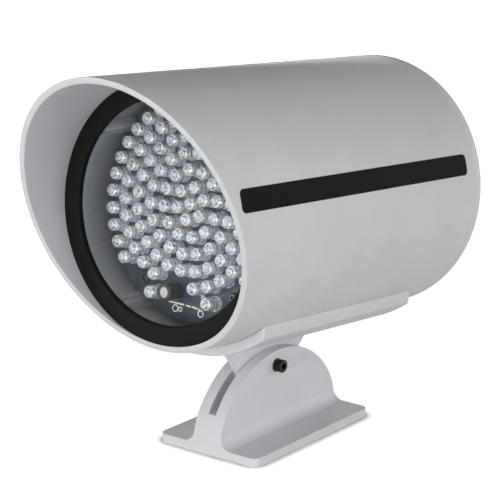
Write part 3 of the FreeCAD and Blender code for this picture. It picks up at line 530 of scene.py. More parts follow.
def lamp_resin(tree):
    """Clear moulded resin whose colour carries painted pale and dark bands and broken painted glints for the
    light it bends, with shading that leans towards its tip.
    """
    flow = noise(tree, 420.0, 2.0)
    profile = add_node(tree, "Attribute", attribute_name="profile").outputs["Fac"]
    wander = add_node(tree, "Math", {0: flow, 1: 0.20, 2: profile}, operation="MULTIPLY_ADD")
    # Painted highlights and painted dark bands: brighter and darker rings of colour along the profile, in
    # place of the light the clear resin bends.
    rings = add_node(tree, "ValToRGB", {"Fac": wander.outputs[0]})
    bands = ((0.0, 0.9), (0.16, 1.05), (0.24, 0.8), (0.34, 1.05), (0.50, 1.05), (0.56, 0.28), (0.60, 1.15),
             (0.70, 1.1), (0.74, 0.22), (0.79, 1.15), (0.88, 1.0), (0.92, 0.30), (0.97, 1.15), (1.0, 0.8))
    stops = rings.color_ramp.elements
    for number, (level, factor) in enumerate(bands):
        stop = stops[number] if number < 2 else stops.new(level)
        stop.position = level
        stop.color = shade_of(settings("colours").resin, factor)
    # Painted glints: broken patches that keep the bands bright or darken them to about a third.
    painted_glints = ramp(tree, noise(tree, 900.0, 2.0, roughness=0.6), 0.35, 1.0, 0.38, 0.46)
    shader = dress(tree, multiplied(tree, rings.outputs["Color"], painted_glints), 0.12)
    facing = add_node(tree, "LayerWeight").outputs["Facing"]
    feed(tree, shader, {"Transmission Weight": ramp(tree, facing, 0.10, 0.90, 0.70, 0.92), "IOR": 1.5,
                        "Coat Weight": 0.7, "Coat Roughness": 0.05})
    outward = board_place().to_3x3() @ Vector((0.0, -1.0, 0.0))
    tip = add_node(tree, "VectorTransform", {"Vector": outward}, vector_type="NORMAL",
                   convert_from="OBJECT", convert_to="WORLD")
    surface = add_node(tree, "NewGeometry").outputs["Normal"]
    towards = add_node(tree, "VectorMath", {0: tip.outputs["Vector"], 1: (1.6, 1.6, 1.6), 2: surface},
                       operation="MULTIPLY_ADD")
    unit = add_node(tree, "VectorMath", {0: towards.outputs["Vector"]}, operation="NORMALIZE")
    relief(tree, flow, 0.3, 0.15, unit.outputs["Vector"])


def lamp_metal(tree):
    """Silvered lead frame inside a lamp."""
    grained(tree, noise(tree, 1800.0, 2.0), ((0.55, 0.57, 0.60), (0.78, 0.80, 0.83)), 0.28, metallic=1.0)


def sensor_case(tree):
    """Dark grey metal can with a soft sheen."""
    grained(tree, noise(tree, 1200.0, 2.0), ((0.030, 0.034, 0.040), (0.055, 0.060, 0.068)), 0.34)


def sensor_cell(tree):
    """Pale face of the light sensor with its folded track."""
    track = pattern(tree, "TexWave", 420.0, distortion=3.0, detail=1.0).outputs["Fac"]
    grained(tree, track, shades("cell", 0.72, 1.1), 0.4, (0.2, 0.6))


def board_mark(tree):
    """White printing ink on the light board."""
    grained(tree, noise(tree, 2600.0, 2.0), shades("mark", 0.85, 1.0), 0.6, (0.3, 0.6))


def black_oxide(tree):
    """Oiled black oxide of the hinge screw and its washer."""
    grained(tree, noise(tree, 1400.0, 3.0), shades("black", 0.4, 1.0), (0.16, 0.28), depth=(0.12, 0.03),
            specular=0.22)


def bright_steel(tree):
    """Zinc-plated steel of the small screws."""
    grained(tree, noise(tree, 1100.0, 3.0), ((0.42, 0.42, 0.43), (0.62, 0.62, 0.62)), (0.26, 0.40),
            metallic=1.0)


def dark_steel(tree):
    """Browned steel of the light board's screws."""
    grained(tree, noise(tree, 1300.0, 3.0), ((0.05, 0.052, 0.058), (0.16, 0.165, 0.18)), (0.22, 0.36),
            metallic=0.9)


def brass(tree):
    """Plain brass of the pillars."""
    grained(tree, noise(tree, 900.0, 2.0), ((0.55, 0.40, 0.16), (0.70, 0.54, 0.26)), 0.32, metallic=1.0)


def capacitor_sleeve(tree):
    """Shrunk dark sleeve of a capacitor."""
    grained(tree, noise(tree, 500.0, 2.0), ((0.02, 0.02, 0.035), (0.035, 0.035, 0.06)), 0.25)


def terminal_green(tree):
    """Green moulding of the terminal block."""
    grained(tree, noise(tree, 1500.0, 2.0), ((0.02, 0.20, 0.07), (0.03, 0.26, 0.10)), 0.5)


# Places of what repeats

def lamp_places():
    """Where the lamps stand on the board: rings about one in the middle, open at the bottom."""
    lamps = settings("lamps")
    # Ring number, lamps in a full ring, angle of its first lamp, start and end of its gap. The last
    # line is a single lamp at the gap's edge.
    rings = (
        (0, 1, 0.0, 0.0, 0.0),
        (1, 6, 20.0, 0.0, 0.0),
        (2, 12, 12.0, 0.0, 0.0),
        (3, 18, 7.4, 0.0, 0.0),
        (4, 24, 13.3, 0.0, 0.0),
        (5, 30, 4.7, 250.0, 276.0),
        (6, 36, 0.8, 222.0, 312.0),
        (6.08, 1, 248.4, 0.0, 0.0),
    )
    places = []
    for ring, count, first, gap_start, gap_end in rings:
        for step in range(count):
            angle = first + step * 360.0 / count
            if not gap_start < angle < gap_end:
                across, up = polar(ring * lamps.pitch, math.radians(angle))
                places.append((across, 0.0, up + lamps.rise))
    return places


def board_screw_places():
    """Where the four board screws stand, right and left, upper and lower."""
    lamps = settings("lamps")
    screws = ((lamps.high_circle, lamps.high_right), (lamps.high_circle, lamps.high_left),
              (lamps.low_circle, math.pi + lamps.low_angle), (lamps.low_circle, -lamps.low_angle))
    return [(across, 0.0, up) for across, up in (polar(*screw) for screw in screws)]


def port_places():
    """Where the four screw ports run along the tube's wall, with the angle of each."""
    housing = settings("housing")
    angles = []
    for angle in (housing.port_upper, housing.port_lower):
        angles += [angle, math.pi - angle]
    return [polar(housing.port_circle, angle) + (angle,) for angle in angles]


# Pieces

class AddHousingTube(bpy.types.Operator):
    """Adds the tube with its slanted hood, stepped bores and open screw ports"""
    bl_idname = "illuminator.add_housing_tube"
    bl_label = "Add housing tube"

    def execute(self, context):
        housing = settings("housing")
        front = -housing.hood_reach - housing.radius
        mesh = turned([
            (housing.radius, front), (housing.radius, housing.end),
            (housing.rim_bore, housing.end), (housing.rim_bore, housing.rear_seat),
            (housing.bore, housing.rear_seat), (housing.bore, housing.seat),
            (housing.rim_bore, housing.seat), (housing.rim_bore, front),
        ], steps=180)
        lean = (0.0, math.cos(housing.hood_angle), math.sin(housing.hood_angle))
        bmesh.ops.bisect_plane(mesh, geom=all_of(mesh), dist=MERGE, plane_no=lean,
                               plane_co=(0.0, -housing.hood_reach, 0.0), clear_inner=True)
        bmesh.ops.bridge_loops(mesh, edges=[edge for edge in mesh.edges if edge.is_boundary])
        bmesh.ops.recalc_face_normals(mesh, faces=mesh.faces)
        bmesh.ops.dissolve_degenerate(mesh, dist=10 * MERGE, edges=mesh.edges)
        round_edges(mesh, sharp_edges(mesh, least=40.0), housing.edge)
        for across, up, angle in port_places():
            self.add_port(mesh, housing, across, up, angle + math.pi)
        for face in mesh.faces:
            middle = face.calc_center_median()
            if math.hypot(middle.x, middle.z) < housing.bore + CLOSE and middle.y > housing.seat:
                face.material_index = 1
        show(mesh, "tube_shell", "housing", [paint, bare_bore], ["housing_tube"],
             housing_place())
        return {"FINISHED"}

    def add_port(self, mesh, housing, across, up, mouth):
        """A channel along the wall, open towards the axis, that a cover screw bites into."""
        half_gap, steps = math.radians(16.0), 18
        arc = [mouth + half_gap + 2 * (math.pi - half_gap) * step / steps for step in range(steps + 1)]
        outline = [polar(housing.port_radius, around) for around in arc]
        outline += [polar(housing.port_bore, around) for around in reversed(arc)]
        prism(mesh, [(across + x, housing.seat, up + z) for x, z in outline],
              (0.0, housing.rear_seat - housing.seat, 0.0))


class AddSideStrip(bpy.types.Operator):
    """Adds the bare black strip along the tube's right side"""
    bl_idname = "illuminator.add_side_strip"
    bl_label = "Add side strip"

    def execute(self, context):
        housing = settings("housing")
        low, high = housing.strip_low, housing.strip_high
        half_height = housing.radius * (high - low) / 2
        front, back = housing.strip_front, housing.strip_back
        mesh = prism(bmesh.new(), [(0.0, front, -half_height), (0.0, back, -half_height),
                                   (0.0, back, half_height), (0.0, front, half_height)],
                     (housing.strip_film, 0.0, 0.0))
        corners = [edge for edge in mesh.edges if abs((edge.verts[0].co - edge.verts[1].co).x) > CLOSE]
        round_edges(mesh, corners, housing.strip_corner, segments=6)
        bands = 12
        for step in range(1, bands):
            level = -half_height + 2 * half_height * step / bands
            bmesh.ops.bisect_plane(mesh, geom=all_of(mesh), dist=MERGE, plane_co=(0.0, 0.0, level),
                                   plane_no=(0.0, 0.0, 1.0))
        for corner in mesh.verts:
            around = (low + high) / 2 + corner.co.z / housing.radius
            across, up = polar(housing.radius + corner.co.x, around)
            corner.co = Vector((across, corner.co.y, up))
        show(mesh, "side_strip", "housing", [strip_vinyl], (), housing_place(), smooth=50.0)
        return {"FINISHED"}


class AddWindow(bpy.types.Operator):
    """Adds the black ring and the round glass behind it"""
    bl_idname = "illuminator.add_window"
    bl_label = "Add window"

    def execute(self, context):
        housing = settings("housing")
        lip, rounding = 0.4 * MM, 0.18 * MM
        back = housing.ring_thickness
        ring = turned([(housing.rim_bore, 0.0), (housing.rim_bore, back), (housing.ring_bore, back),
                       (housing.ring_bore, lip * 2), (housing.ring_bore + lip, 0.0)], steps=160)
        round_edges(ring, sharp_edges(ring, least=50.0), rounding, segments=2)
        show(ring, "window_frame", "housing", [black_moulding], ["window_ring"],
             housing_place())
        pane = turned([(0.0, back), (housing.glass_radius, back), (housing.glass_radius, housing.seat),
                       (0.0, housing.seat)], steps=96, closed=False)
        show(pane, "window_pane", "housing", [window_pane], ["window_glass"],
             housing_place())
        return {"FINISHED"}


def clear_dome(board, radius, flange, height, sides, steps):
    """A flanged round barrel with a domed end; "profile" runs from 0 at its foot to 1 at its tip."""
    foot, knee = board - settings("lamps").flange_height, board - height + radius
    outline = [(0.0, board), (flange, board), (flange, foot), (radius, foot), (radius, knee)]
    for step in range(1, steps + 1):
        reach, rise = polar(radius, math.pi / 2 * step / steps)
        outline.append((reach, knee - rise))
    mesh = turned(outline, sides, closed=False)
    mark = mesh.verts.layers.float.new("profile")
    whole = board - knee + math.pi / 2 * radius
    for corner in mesh.verts:
        along = board - max(corner.co.y, knee)
        around = math.atan2(max(knee - corner.co.y, 0.0), math.hypot(corner.co.x, corner.co.z))
        corner[mark] = (along + radius * around) / whole
    return mesh


class AddLamps(bpy.types.Operator):
    """Adds the field of clear lamps with their lead frames"""
    bl_idname = "illuminator.add_lamps"
    bl_label = "Add lamps"

    def execute(self, context):
        lamps = settings("lamps")
        domes = clear_dome(lamps.board, lamps.radius, lamps.flange, lamps.height, sides=16, steps=6)
        repeat_at(domes, lamp_places())
        show(domes, "lamp_domes", "housing", [lamp_resin], ["led_array"], board_place())
        frames = self.lead_frame(lamps)
        repeat_at(frames, lamp_places())
        show(frames, "lamp_lead_frames", "housing", [lamp_metal], (), board_place())
        return {"FINISHED"}

    def lead_frame(self, lamps):
        """The cup that carries the chip, and the two blades under it."""
        rim = lamps.board - lamps.height + lamps.radius + 0.4 * MM
        foot = lamps.board - lamps.flange_height
        offset, thickness = 1.1 * MM, 0.5 * MM
        metal = turned(from_face(rim, ((0.0, 1.0), (0.7, 0.9), (1.5, 0.0), (1.7, 0.0), (1.7, 1.4),
                                       (0.0, 1.4))), steps=10, closed=False)
        for side, width, drop in ((-1, 1.3 * MM, 1.2 * MM), (1, 0.8 * MM, 0.6 * MM)):
            top = rim + drop
            place = Matrix.Translation((side * offset, (top + foot) / 2, 0.0))
            size = Matrix.Diagonal((width, foot - top, thickness, 1.0))
            bmesh.ops.create_cube(metal, size=1.0, matrix=place @ size)
        return metal


class AddSensorAndLens(bpy.types.Operator):
    """Adds the light sensor and the receiver lens under the lamps"""
    bl_idname = "illuminator.add_sensor_and_lens"
    bl_label = "Add sensor and lens"

    def execute(self, context):
        lamps = settings("lamps")
        place = board_place()
        face = lamps.board - lamps.height
        well = face + 1.0 * MM
        outer, mouth = lamps.sensor_radius, lamps.cell_radius * 0.9
        # The can's rolled rim: distance in from its side and depth under its face, in millimetres.
        rim = [(outer - inset * MM, face + depth * MM) for inset, depth in (
            (0.0, 0.5), (0.35, 0.1), (0.6, 0.0), (0.75, 0.25), (0.9, 0.25), (1.0, 0.0))]
        case = turned([(0.0, lamps.board), (outer, lamps.board)] + rim + [
            (mouth + 0.15 * MM, face), (mouth, face + 0.3 * MM), (mouth, well), (0.0, well),
        ], steps=40, closed=False)
        cell = turned([(0.0, well), (mouth, well), (mouth, face + 0.6 * MM),
                       (mouth * 0.7, face + 0.45 * MM), (0.0, face + 0.4 * MM)], steps=32, closed=False)
        lens = clear_dome(lamps.board, lamps.lens_radius, lamps.lens_flange, lamps.lens_height,
                          sides=32, steps=8)
        for part in (case, cell):
            repeat_at(part, [(lamps.sensor_x, 0.0, lamps.sensor_z)])
        repeat_at(lens, [(lamps.lens_x, 0.0, lamps.lens_z)])
        show(case, "sensor_can", "housing", [sensor_case], ["light_sensor_case"], place)
        show(cell, "sensor_face", "housing", [sensor_cell], ["light_sensor_cell"], place)
        show(lens, "receiver_dome", "housing", [lamp_resin], ["receiver_lens"], place)
        return {"FINISHED"}


class AddLightBoard(bpy.types.Operator):
    """Adds the round light board, notched where it passes the screw ports"""
    bl_idname = "illuminator.add_light_board"
    bl_label = "Add light board"

    def execute(self, context):
        housing, lamps = settings("housing"), settings("lamps")
        front, back = lamps.board, lamps.board + lamps.board_thickness
        past, rounding = 5.0 * MM, 0.15 * MM
        board = rod(bmesh.new(), lamps.board_radius, front, back, up=lamps.board_rise, sides=128)
        round_edges(board, sharp_edges(board, least=50.0), rounding, segments=2)
        notch = housing.port_radius + lamps.board_clearance
        for across, up, angle in port_places():
            board = carve(board, rod(bmesh.new(), notch, front - past, back + past, across, up))
        show(board, "light_board", "housing", [solder_mask], ["led_board"], board_place())
        return {"FINISHED"}


class AddBoardMarks(bpy.types.Operator):
    """Adds plain printed rings and dashes on the light board"""
    bl_idname = "illuminator.add_board_marks"
    bl_label = "Add board marks"

    def execute(self, context):
        board = settings("lamps").board
        ink, line, half_dash = 0.06 * MM, 0.45, 0.28
        top = board - ink
        mesh = bmesh.new()
        # Rings: across, up and outside radius. Dashes: across and up of both ends. In millimetres.
        for across, up, radius in ((-5.97, -41.6, 1.55), (-3.43, -41.6, 1.05), (7.0, -41.6, 1.5),
                                   (7.3, -35.0, 0.9)):
            outer, inner = radius * MM, (radius - line) * MM
            ring = turned([(inner, board), (outer, board), (outer, top), (inner, top)], steps=28)
            repeat_at(ring, [(across * MM, 0.0, up * MM)])
            join(mesh, ring)
        for first_x, first_z, last_x, last_z in (
                (-9.57, -39.49, -1.78, -39.48), (-0.75, -39.49, 1.60, -39.67),
                (2.34, -39.53, 5.48, -39.96), (5.9, -40.02, 6.78, -40.12)):
            corners = ((first_x, first_z - half_dash), (last_x, last_z - half_dash),
                       (last_x, last_z + half_dash), (first_x, first_z + half_dash))
            join(mesh, prism(bmesh.new(), [(across * MM, board, up * MM) for across, up in corners],
                             (0.0, -ink, 0.0)))
        show(mesh, "board_print", "housing", [board_mark], (), board_place())
        return {"FINISHED"}


def pan_screw(radius, rise, shank, reach, face, outward):
    """A screw along Y on a face: a domed head with a round recess, and its shank."""
    outline = ((0.0, 0.35), (0.36, 0.35), (0.42, 0.98), (0.62, 1.0), (0.86, 0.78), (0.97, 0.45), (1.0, 0.0),
               (0.0, 0.0))
    into_head = 0.2 * MM
    mesh = turned([(radius * share, face + outward * rise * level) for share, level in outline],
                  steps=24, closed=False)
    return rod(mesh, shank, face - outward * reach, face + outward * into_head, sides=12)


class AddScrews(bpy.types.Operator):
    """Adds the board screws, the cover screws and the saddle's flat-head screws"""
    bl_idname = "illuminator.add_screws"
    bl_label = "Add screws"

    def execute(self, context):
        housing, lamps, mount = settings("housing"), settings("lamps"), settings("mount")
        board = pan_screw(radius=2.2 * MM, rise=1.6 * MM, shank=1.25 * MM, reach=7.0 * MM,
                          face=lamps.board, outward=-1)
        repeat_at(board, board_screw_places())
        show(board, "board_fixings", "housing", [dark_steel], ["board_screws"],
             board_place())
        back = housing.end + housing.cover_thickness
        cover = pan_screw(radius=2.8 * MM, rise=2.2 * MM, shank=1.5 * MM, reach=14.0 * MM,
                          face=back, outward=1)
        repeat_at(cover, [(across, 0.0, up) for across, up, angle in port_places()])
        show(cover, "cover_fixings", "housing", [bright_steel], ["rear_cover_screws"],
             housing_place())
        flat = turned(from_face(0.0, ((0.0, 1.4), (1.2, 1.4), (1.4, 0.0), (3.6, 0.0), (2.0, 1.7),
                                      (2.0, 8.3), (0.0, 8.3))), steps=28, closed=False)
        bmesh.ops.rotate(flat, cent=(0.0, 0.0, 0.0), matrix=Matrix.Rotation(math.radians(90), 3, "X"),
                         verts=flat.verts)
        under = -housing.radius - mount.saddle_thickness
        near = mount.saddle_front + mount.saddle_screw_inset
        far = mount.saddle_front + mount.saddle_length - mount.saddle_screw_inset
        repeat_at(flat, [(0.0, near, under), (0.0, far, under)])
        show(flat, "saddle_fixings", "housing", [bright_steel], ["saddle_screws"],
             housing_place())
        return {"FINISHED"}


class AddSaddle(bpy.types.Operator):
    """Adds the curved saddle with the tongue that turns in the fork"""
    bl_idname = "illuminator.add_saddle"
    bl_label = "Add saddle"

    def execute(self, context):
        housing, mount = settings("housing"), settings("mount")
        body = carve(self.plate(housing, mount), self.tongue(housing, mount), "UNION")
        play, depth = 0.06 * MM, 20.0 * MM
        across = Matrix.Translation((0.0, mount.hinge_setback, -mount.hinge_drop)) @ ALONG_X
        body = carve(body, cylinder(bmesh.new(), mount.pin_radius + play, depth, across))
        keep_flat(show(body, "saddle_casting", "housing", [paint], ["saddle_bracket"],
                       housing_place()))
        return {"FINISHED"}

    def plate(self, housing, mount):
        """A curved plate against the tube, with upright long sides."""
        inner, outer = housing.radius, housing.radius + mount.saddle_thickness
        half, rounding = mount.saddle_half_width, 0.7 * MM
        start = math.asin(half / inner)
        plate = bmesh.new()
        ends = [plate.verts.new((radius * math.sin(angle), mount.saddle_front, -radius * math.cos(angle)))
                for radius, angle in ((inner, start), (outer, math.asin(half / outer)))]
        spin(plate, ends + [plate.edges.new(ends)], 2 * start, steps=48)
        for corner in plate.verts:
            on_outside = abs(math.hypot(corner.co.x, corner.co.z) - outer) < CLOSE
            if on_outside and corner.co.x < -half:
                corner.co.x = -half
                corner.co.z = -math.sqrt(outer ** 2 - half ** 2)
        push(plate, plate.faces[:], (0.0, mount.saddle_length, 0.0))
        round_edges(plate, sharp_edges(plate, least=40.0), rounding)
        return plate

    def tongue(self, housing, mount):
        """A flat tongue, whose lower end is an arc through its corners."""
        centre, corner, steps = mount.hinge_setback, mount.tongue_half_corner, 24
        sagitta = mount.tongue_depth + mount.tongue_corner_rise
        radius = (corner ** 2 + sagitta ** 2) / (2 * sagitta)
        middle = -mount.hinge_drop - mount.tongue_depth + radius
        reach = math.asin(min(corner / radius, 1.0))
        if sagitta > radius:
            reach = math.pi - reach
        top = -housing.radius - mount.saddle_thickness / 2
        points = [(centre + mount.tongue_half_top, top), (centre - mount.tongue_half_top, top)]
        for step in range(steps + 1):
            around = -reach + 2 * reach * step / steps
            points.append((centre + radius * math.sin(around), middle - radius * math.cos(around)))
        half = mount.tongue_thickness / 2
        return prism(bmesh.new(), [(-half, along, up) for along, up in points], (2 * half, 0.0, 0.0))


class AddHingeScrew(bpy.types.Operator):
    """Adds the black socket-head screw and its split washer"""
    bl_idname = "illuminator.add_hinge_screw"
    bl_label = "Add hinge screw"

    def execute(self, context):
        mount = settings("mount")
        place = hinge_place() @ Matrix.Rotation(math.radians(-90), 4, "Z")
        ear = mount.fork_width / 2
        washer_thickness = 0.8 * MM
        under = ear + washer_thickness
        show(self.screw(mount.pin_radius, ear, under), "hinge_bolt", "foot", [black_oxide],
             ["hinge_screw"], place)
        show(self.washer(mount.pin_radius, ear, under), "split_washer", "foot",
             [black_oxide], ["hinge_lock_washer"], place)
        return {"FINISHED"}

    def screw(self, pin, ear, under):
        """A cylindrical head with a hexagon socket, over a shank that stops inside the far ear."""
        head, top, tip = 2.75 * MM, under + 3.0 * MM, -ear + 0.5 * MM
        socket, socket_depth, past, rounding = 1.52 * MM, 1.8 * MM, 1.0 * MM, 0.35 * MM
        screw = turned([(0.0, tip), (pin, tip), (pin, under), (head, under), (head, top), (0.0, top)],
                       steps=40, closed=False)
        round_edges(screw, edges_at(sharp_edges(screw, least=50.0), lambda at: at.y > top - CLOSE), rounding)
        return carve(screw, rod(bmesh.new(), socket, top - socket_depth, top + past, sides=6))

    def washer(self, pin, ear, under):
        """A square-section ring with a narrow gap."""
        play, outer, gap, rounding = 0.04 * MM, 2.9 * MM, math.radians(12.0), 0.12 * MM
        inner = pin + play
        washer = bmesh.new()
        section = []
        for radius, along in ((inner, ear), (outer, ear), (outer, under), (inner, under)):
            across, up = polar(radius, gap / 2)
            section.append((across, along, -up))
        items = outline_in(washer, section)
        items.append(washer.faces.new(verts_of(items)))
        spin(washer, items, 2 * math.pi - gap, steps=40)
        bmesh.ops.recalc_face_normals(washer, faces=washer.faces)
        round_edges(washer, sharp_edges(washer, least=50.0), rounding, segments=2)
        return washer


class AddFoot(bpy.types.Operator):
    """Adds the mounting foot: a T-shaped bar arched, slotted and bored into a fork"""
    bl_idname = "illuminator.add_foot"
    bl_label = "Add foot"

    def execute(self, context):
        mount = settings("mount")
        ear, plate = mount.fork_width / 2, mount.foot_thickness
        bar = carve(self.bar(mount, ear, plate), self.arch(mount), "INTERSECT")
        # The ears' outline begins where the fillets end, less a little.
        lowest = plate + mount.fork_fillet * 0.98
        outline = edges_at(sharp_edges(bar, least=45.0),
                           lambda at: abs(abs(at.x) - ear) < CLOSE and at.z > lowest)
        round_edges(bar, outline, mount.ear_edge, segments=4)
        slot_height, slot_length = 50.0 * MM, 200.0 * MM
        place = Matrix.Translation((0.0, 0.0, mount.slot_floor + slot_height / 2))
        size = Matrix.Diagonal((mount.slot_width, slot_length, slot_height, 1.0))
        slot = bmesh.new()
        bmesh.ops.create_cube(slot, size=1.0, matrix=place @ size)
        bar = carve(bar, slot)
        play, depth = 0.02 * MM, 30.0 * MM
        bar = carve(bar, cylinder(bmesh.new(), mount.pin_radius + play, depth, hinge_place() @ ALONG_X))
        for side in (-1, 1):
            place = Matrix.Translation((0.0, side * mount.foot_hole_spacing / 2, 0.0))
            bar = carve(bar, cylinder(bmesh.new(), mount.foot_hole_radius, 2 * mount.foot_hole_depth, place))
        keep_flat(show(bar, "fork_foot", "foot", [paint], ["mounting_foot"]))
        return {"FINISHED"}

    def bar(self, mount, ear, plate):
        """An upside-down T with fillets, rounded corners and a chamfered upper edge."""
        half_width, front, top = mount.foot_width / 2, -mount.foot_length / 2, mount.fork_height
        section = ((-half_width, 0.0), (half_width, 0.0), (half_width, plate), (ear, plate), (ear, top),
                   (-ear, top), (-ear, plate), (-half_width, plate))
        bar = prism(bmesh.new(), [(across, front, up) for across, up in section],
                    (0.0, mount.foot_length, 0.0))
        roots = edges_at(bar.edges, lambda at: abs(abs(at.x) - ear) < CLOSE and abs(at.z - plate) < CLOSE)
        round_edges(bar, roots, mount.fork_fillet, segments=10)
        upright = [edge for edge in edges_at(bar.edges, lambda at: abs(abs(at.x) - half_width) < CLOSE)
                   if abs(edge.verts[0].co.z - edge.verts[1].co.z) > plate / 2]
        round_edges(bar, upright, mount.foot_corner, segments=6)
        flat_from = ear + mount.fork_fillet - CLOSE
        rim = edges_at(sharp_edges(bar, least=50.0),
                       lambda at: abs(at.z - plate) < CLOSE and abs(at.x) > flat_from)
        round_edges(bar, rim, mount.foot_chamfer, segments=1)
        return bar

    def arch(self, mount):
        """What the ears' outline leaves: three arcs, on a block round the foot plate."""
        half_block, past, level = 40.0 * MM, 5.0 * MM, mount.foot_thickness
        span, rise, side = mount.foot_length / 2, mount.fork_height - level, mount.fork_side
        crown = (span ** 2 + rise ** 2 - 2 * span * side) / (2 * (rise - side))
        knee = math.acos((span - side) / (crown - side))
        tool = bmesh.new()
        first = tool.verts.new((-half_block, span, level))
        arc = [first]
        # Centre, angle and steps of each arc, from the rear end of the ears to the front.
        for along, up, angle, steps in ((span - side, level, knee, 16),
                                        (0.0, mount.fork_height - crown, math.pi - 2 * knee, 40),
                                        (side - span, level, knee, 16)):
            arc = verts_of(spin(tool, arc, angle, steps, axis=(1.0, 0.0, 0.0), centre=(0.0, along, up)))
        tool.verts.ensure_lookup_table()
        last = min(tool.verts, key=lambda corner: (corner.co.y, corner.co.z))
        block = ((span + past, level), (span + past, -past), (-span - past, -past), (-span - past, level))
        line = [first] + [tool.verts.new((-half_block, along, up)) for along, up in block] + [last]
        for pair in zip(line, line[1:]):
            tool.edges.new(pair)
        push(tool, bmesh.ops.contextual_create(tool, geom=tool.edges[:])["faces"],
             (2 * half_block, 0.0, 0.0))
        return tool


class AddRearEnd(bpy.types.Operator):
    """Adds the rear cover and the cable gland"""
    bl_idname = "illuminator.add_rear_end"
    bl_label = "Add rear end"

    def execute(self, context):
        housing = settings("housing")
        back = housing.end + housing.cover_thickness
        self.add_cover(housing, back)
        washer_thickness = 1.0 * MM
        self.add_gland(back, back + washer_thickness)
        return {"FINISHED"}

    def add_cover(self, housing, back):
        """A disc with a spigot in the tube and a hole for the gland."""
        hole, play, wall, seam_edge = 6.1 * MM, 0.1 * MM, 7.3 * MM, 0.3 * MM
        end, seat, spigot = housing.end, housing.rear_seat, housing.rim_bore - play
        cover = turned([(hole, back), (housing.radius, back), (housing.radius, end), (spigot, end),
                        (spigot, seat), (spigot - wall, seat), (spigot - wall, end), (hole, end)], steps=160)
        rim = housing.radius - CLOSE
        outer = edges_at(sharp_edges(cover, least=50.0),
                         lambda at: math.hypot(at.x, at.z) > rim and at.y > back - CLOSE)
        round_edges(cover, outer, housing.cover_edge, segments=5)
        seam = edges_at(sharp_edges(cover, least=50.0),
                        lambda at: math.hypot(at.x, at.z) > rim and at.y < end + CLOSE)
        round_edges(cover, seam, seam_edge, segments=2)
        show(cover, "cover_disc", "housing", [paint], ["rear_cover"], housing_place())

    def add_gland(self, back, seat):
        """The washer, the hexagon and neck, the ribbed cap and the sleeve that grips a cable."""
        place = housing_place()
        washer = turned(from_face(back, ((6.1, 0.0), (8.4, 0.0), (8.6, 0.5), (8.4, 1.0), (6.1, 1.0))),
                        steps=40)
        show(washer, "gland_gasket", "housing", [black_rubber], ["gland_washer"], place)
        hexagon, hexagon_end, rounding = 9.0 * MM, seat + 5.0 * MM, 0.4 * MM
        thread, thread_start, thread_end = 6.6 * MM, seat + 4.8 * MM, seat + 12.5 * MM
        neck = rod(bmesh.new(), hexagon, seat, hexagon_end, sides=6)
        round_edges(neck, sharp_edges(neck, least=50.0), rounding)
        rod(neck, thread, thread_start, thread_end, sides=40)
        show(neck, "gland_base", "housing", [black_moulding], ["gland_body"], place)
        start = seat + 5.3 * MM
        cap = turned(from_face(start, ((6.7, 0.0), (7.9, 0.0), (8.0, 7.6), (7.4, 9.4), (6.2, 10.6),
                                       (4.8, 11.0), (4.2, 11.0), (4.2, 7.8), (6.7, 7.8))), steps=48)
        ribs, rib_circle, rib, rib_start, rib_end = 12, 7.7 * MM, 0.8 * MM, 0.4 * MM, 7.4 * MM
        for number in range(ribs):
            across, up = polar(rib_circle, 2 * math.pi * number / ribs)
            rod(cap, rib, start + rib_start, start + rib_end, across, up, sides=10)
        show(cap, "gland_nut", "housing", [black_moulding], ["gland_cap"], place)
        sleeve = turned(from_face(seat, ((3.1, 5.0), (5.4, 5.0), (5.4, 13.0), (3.1, 13.0))), steps=40)
        show(sleeve, "gland_sleeve", "housing", [black_rubber], ["gland_insert"], place)


class FinishSolids(bpy.types.Operator):
    """Gives the solids that stay as they are their finishes"""
    bl_idname = "illuminator.finish_solids"
    bl_label = "Finish carried solids"

    def execute(self, context):
        finishes = {"driver_pillars": brass, "driver_board": board_edge,
                    "driver_capacitors": capacitor_sleeve, "terminal_block": terminal_green,
                    "gland_locknut": black_moulding}
        for name, build in finishes.items():
            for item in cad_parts[name].material_slots:
                item.material = finish_of(build)
        return {"FINISHED"}


# Scene

def seen_ray(tree):
    """One for rays that the camera, a reflection or a clear piece looks along."""
    path = add_node(tree, "LightPath").outputs
    either = add_node(tree, "Math", {0: path["Is Camera Ray"], 1: path["Is Glossy Ray"]},
                      operation="MAXIMUM")
    return add_node(tree, "Math", {0: either.outputs[0], 1: path["Is Transmission Ray"]},
                    operation="MAXIMUM").outputs[0]


def split_rays(tree, kind, unseen, seen):
    """An output that looks one way to rays that are seen, and another to the rest."""
    mix = add_node(tree, "MixShader", {"Fac": seen_ray(tree), 1: unseen.outputs[0], 2: seen.outputs[0]})
    add_node(tree, kind, {"Surface": mix.outputs[0]})


def pale_floor(tree):
    """White to the camera, glossy and clear rays, darker where the object keeps light off it, with painted
    shade in its glow near the object.
    """
    tree.nodes.clear()
    diffuse = add_node(tree, "BsdfDiffuse", {"Color": (0.80, 0.80, 0.80, 1.0)})
    place = add_node(tree, "TexCoord").outputs["Object"]
    # Painted shade in the glow: 0.84 out to 0.1 m from the middle, full from 0.45 m, and falling towards
    # nothing where ambient occlusion within 6 mm is strong.
    reach = add_node(tree, "VectorMath", {0: place}, operation="LENGTH").outputs["Value"]
    shelter = add_node(tree, "AmbientOcclusion", {"Distance": 6.0 * MM}).outputs["AO"]
    painted_floor_shade = multiplied(tree, ramp(tree, reach, 0.84, 1.0, 0.10, 0.45),
                        ramp(tree, shelter, 0.0, 1.0, 0.62, 0.97))
    glow = add_node(tree, "Emission", {"Color": painted_floor_shade})
    both = add_node(tree, "AddShader", {0: diffuse.outputs[0], 1: glow.outputs[0]})
    split_rays(tree, "OutputMaterial", diffuse, both)


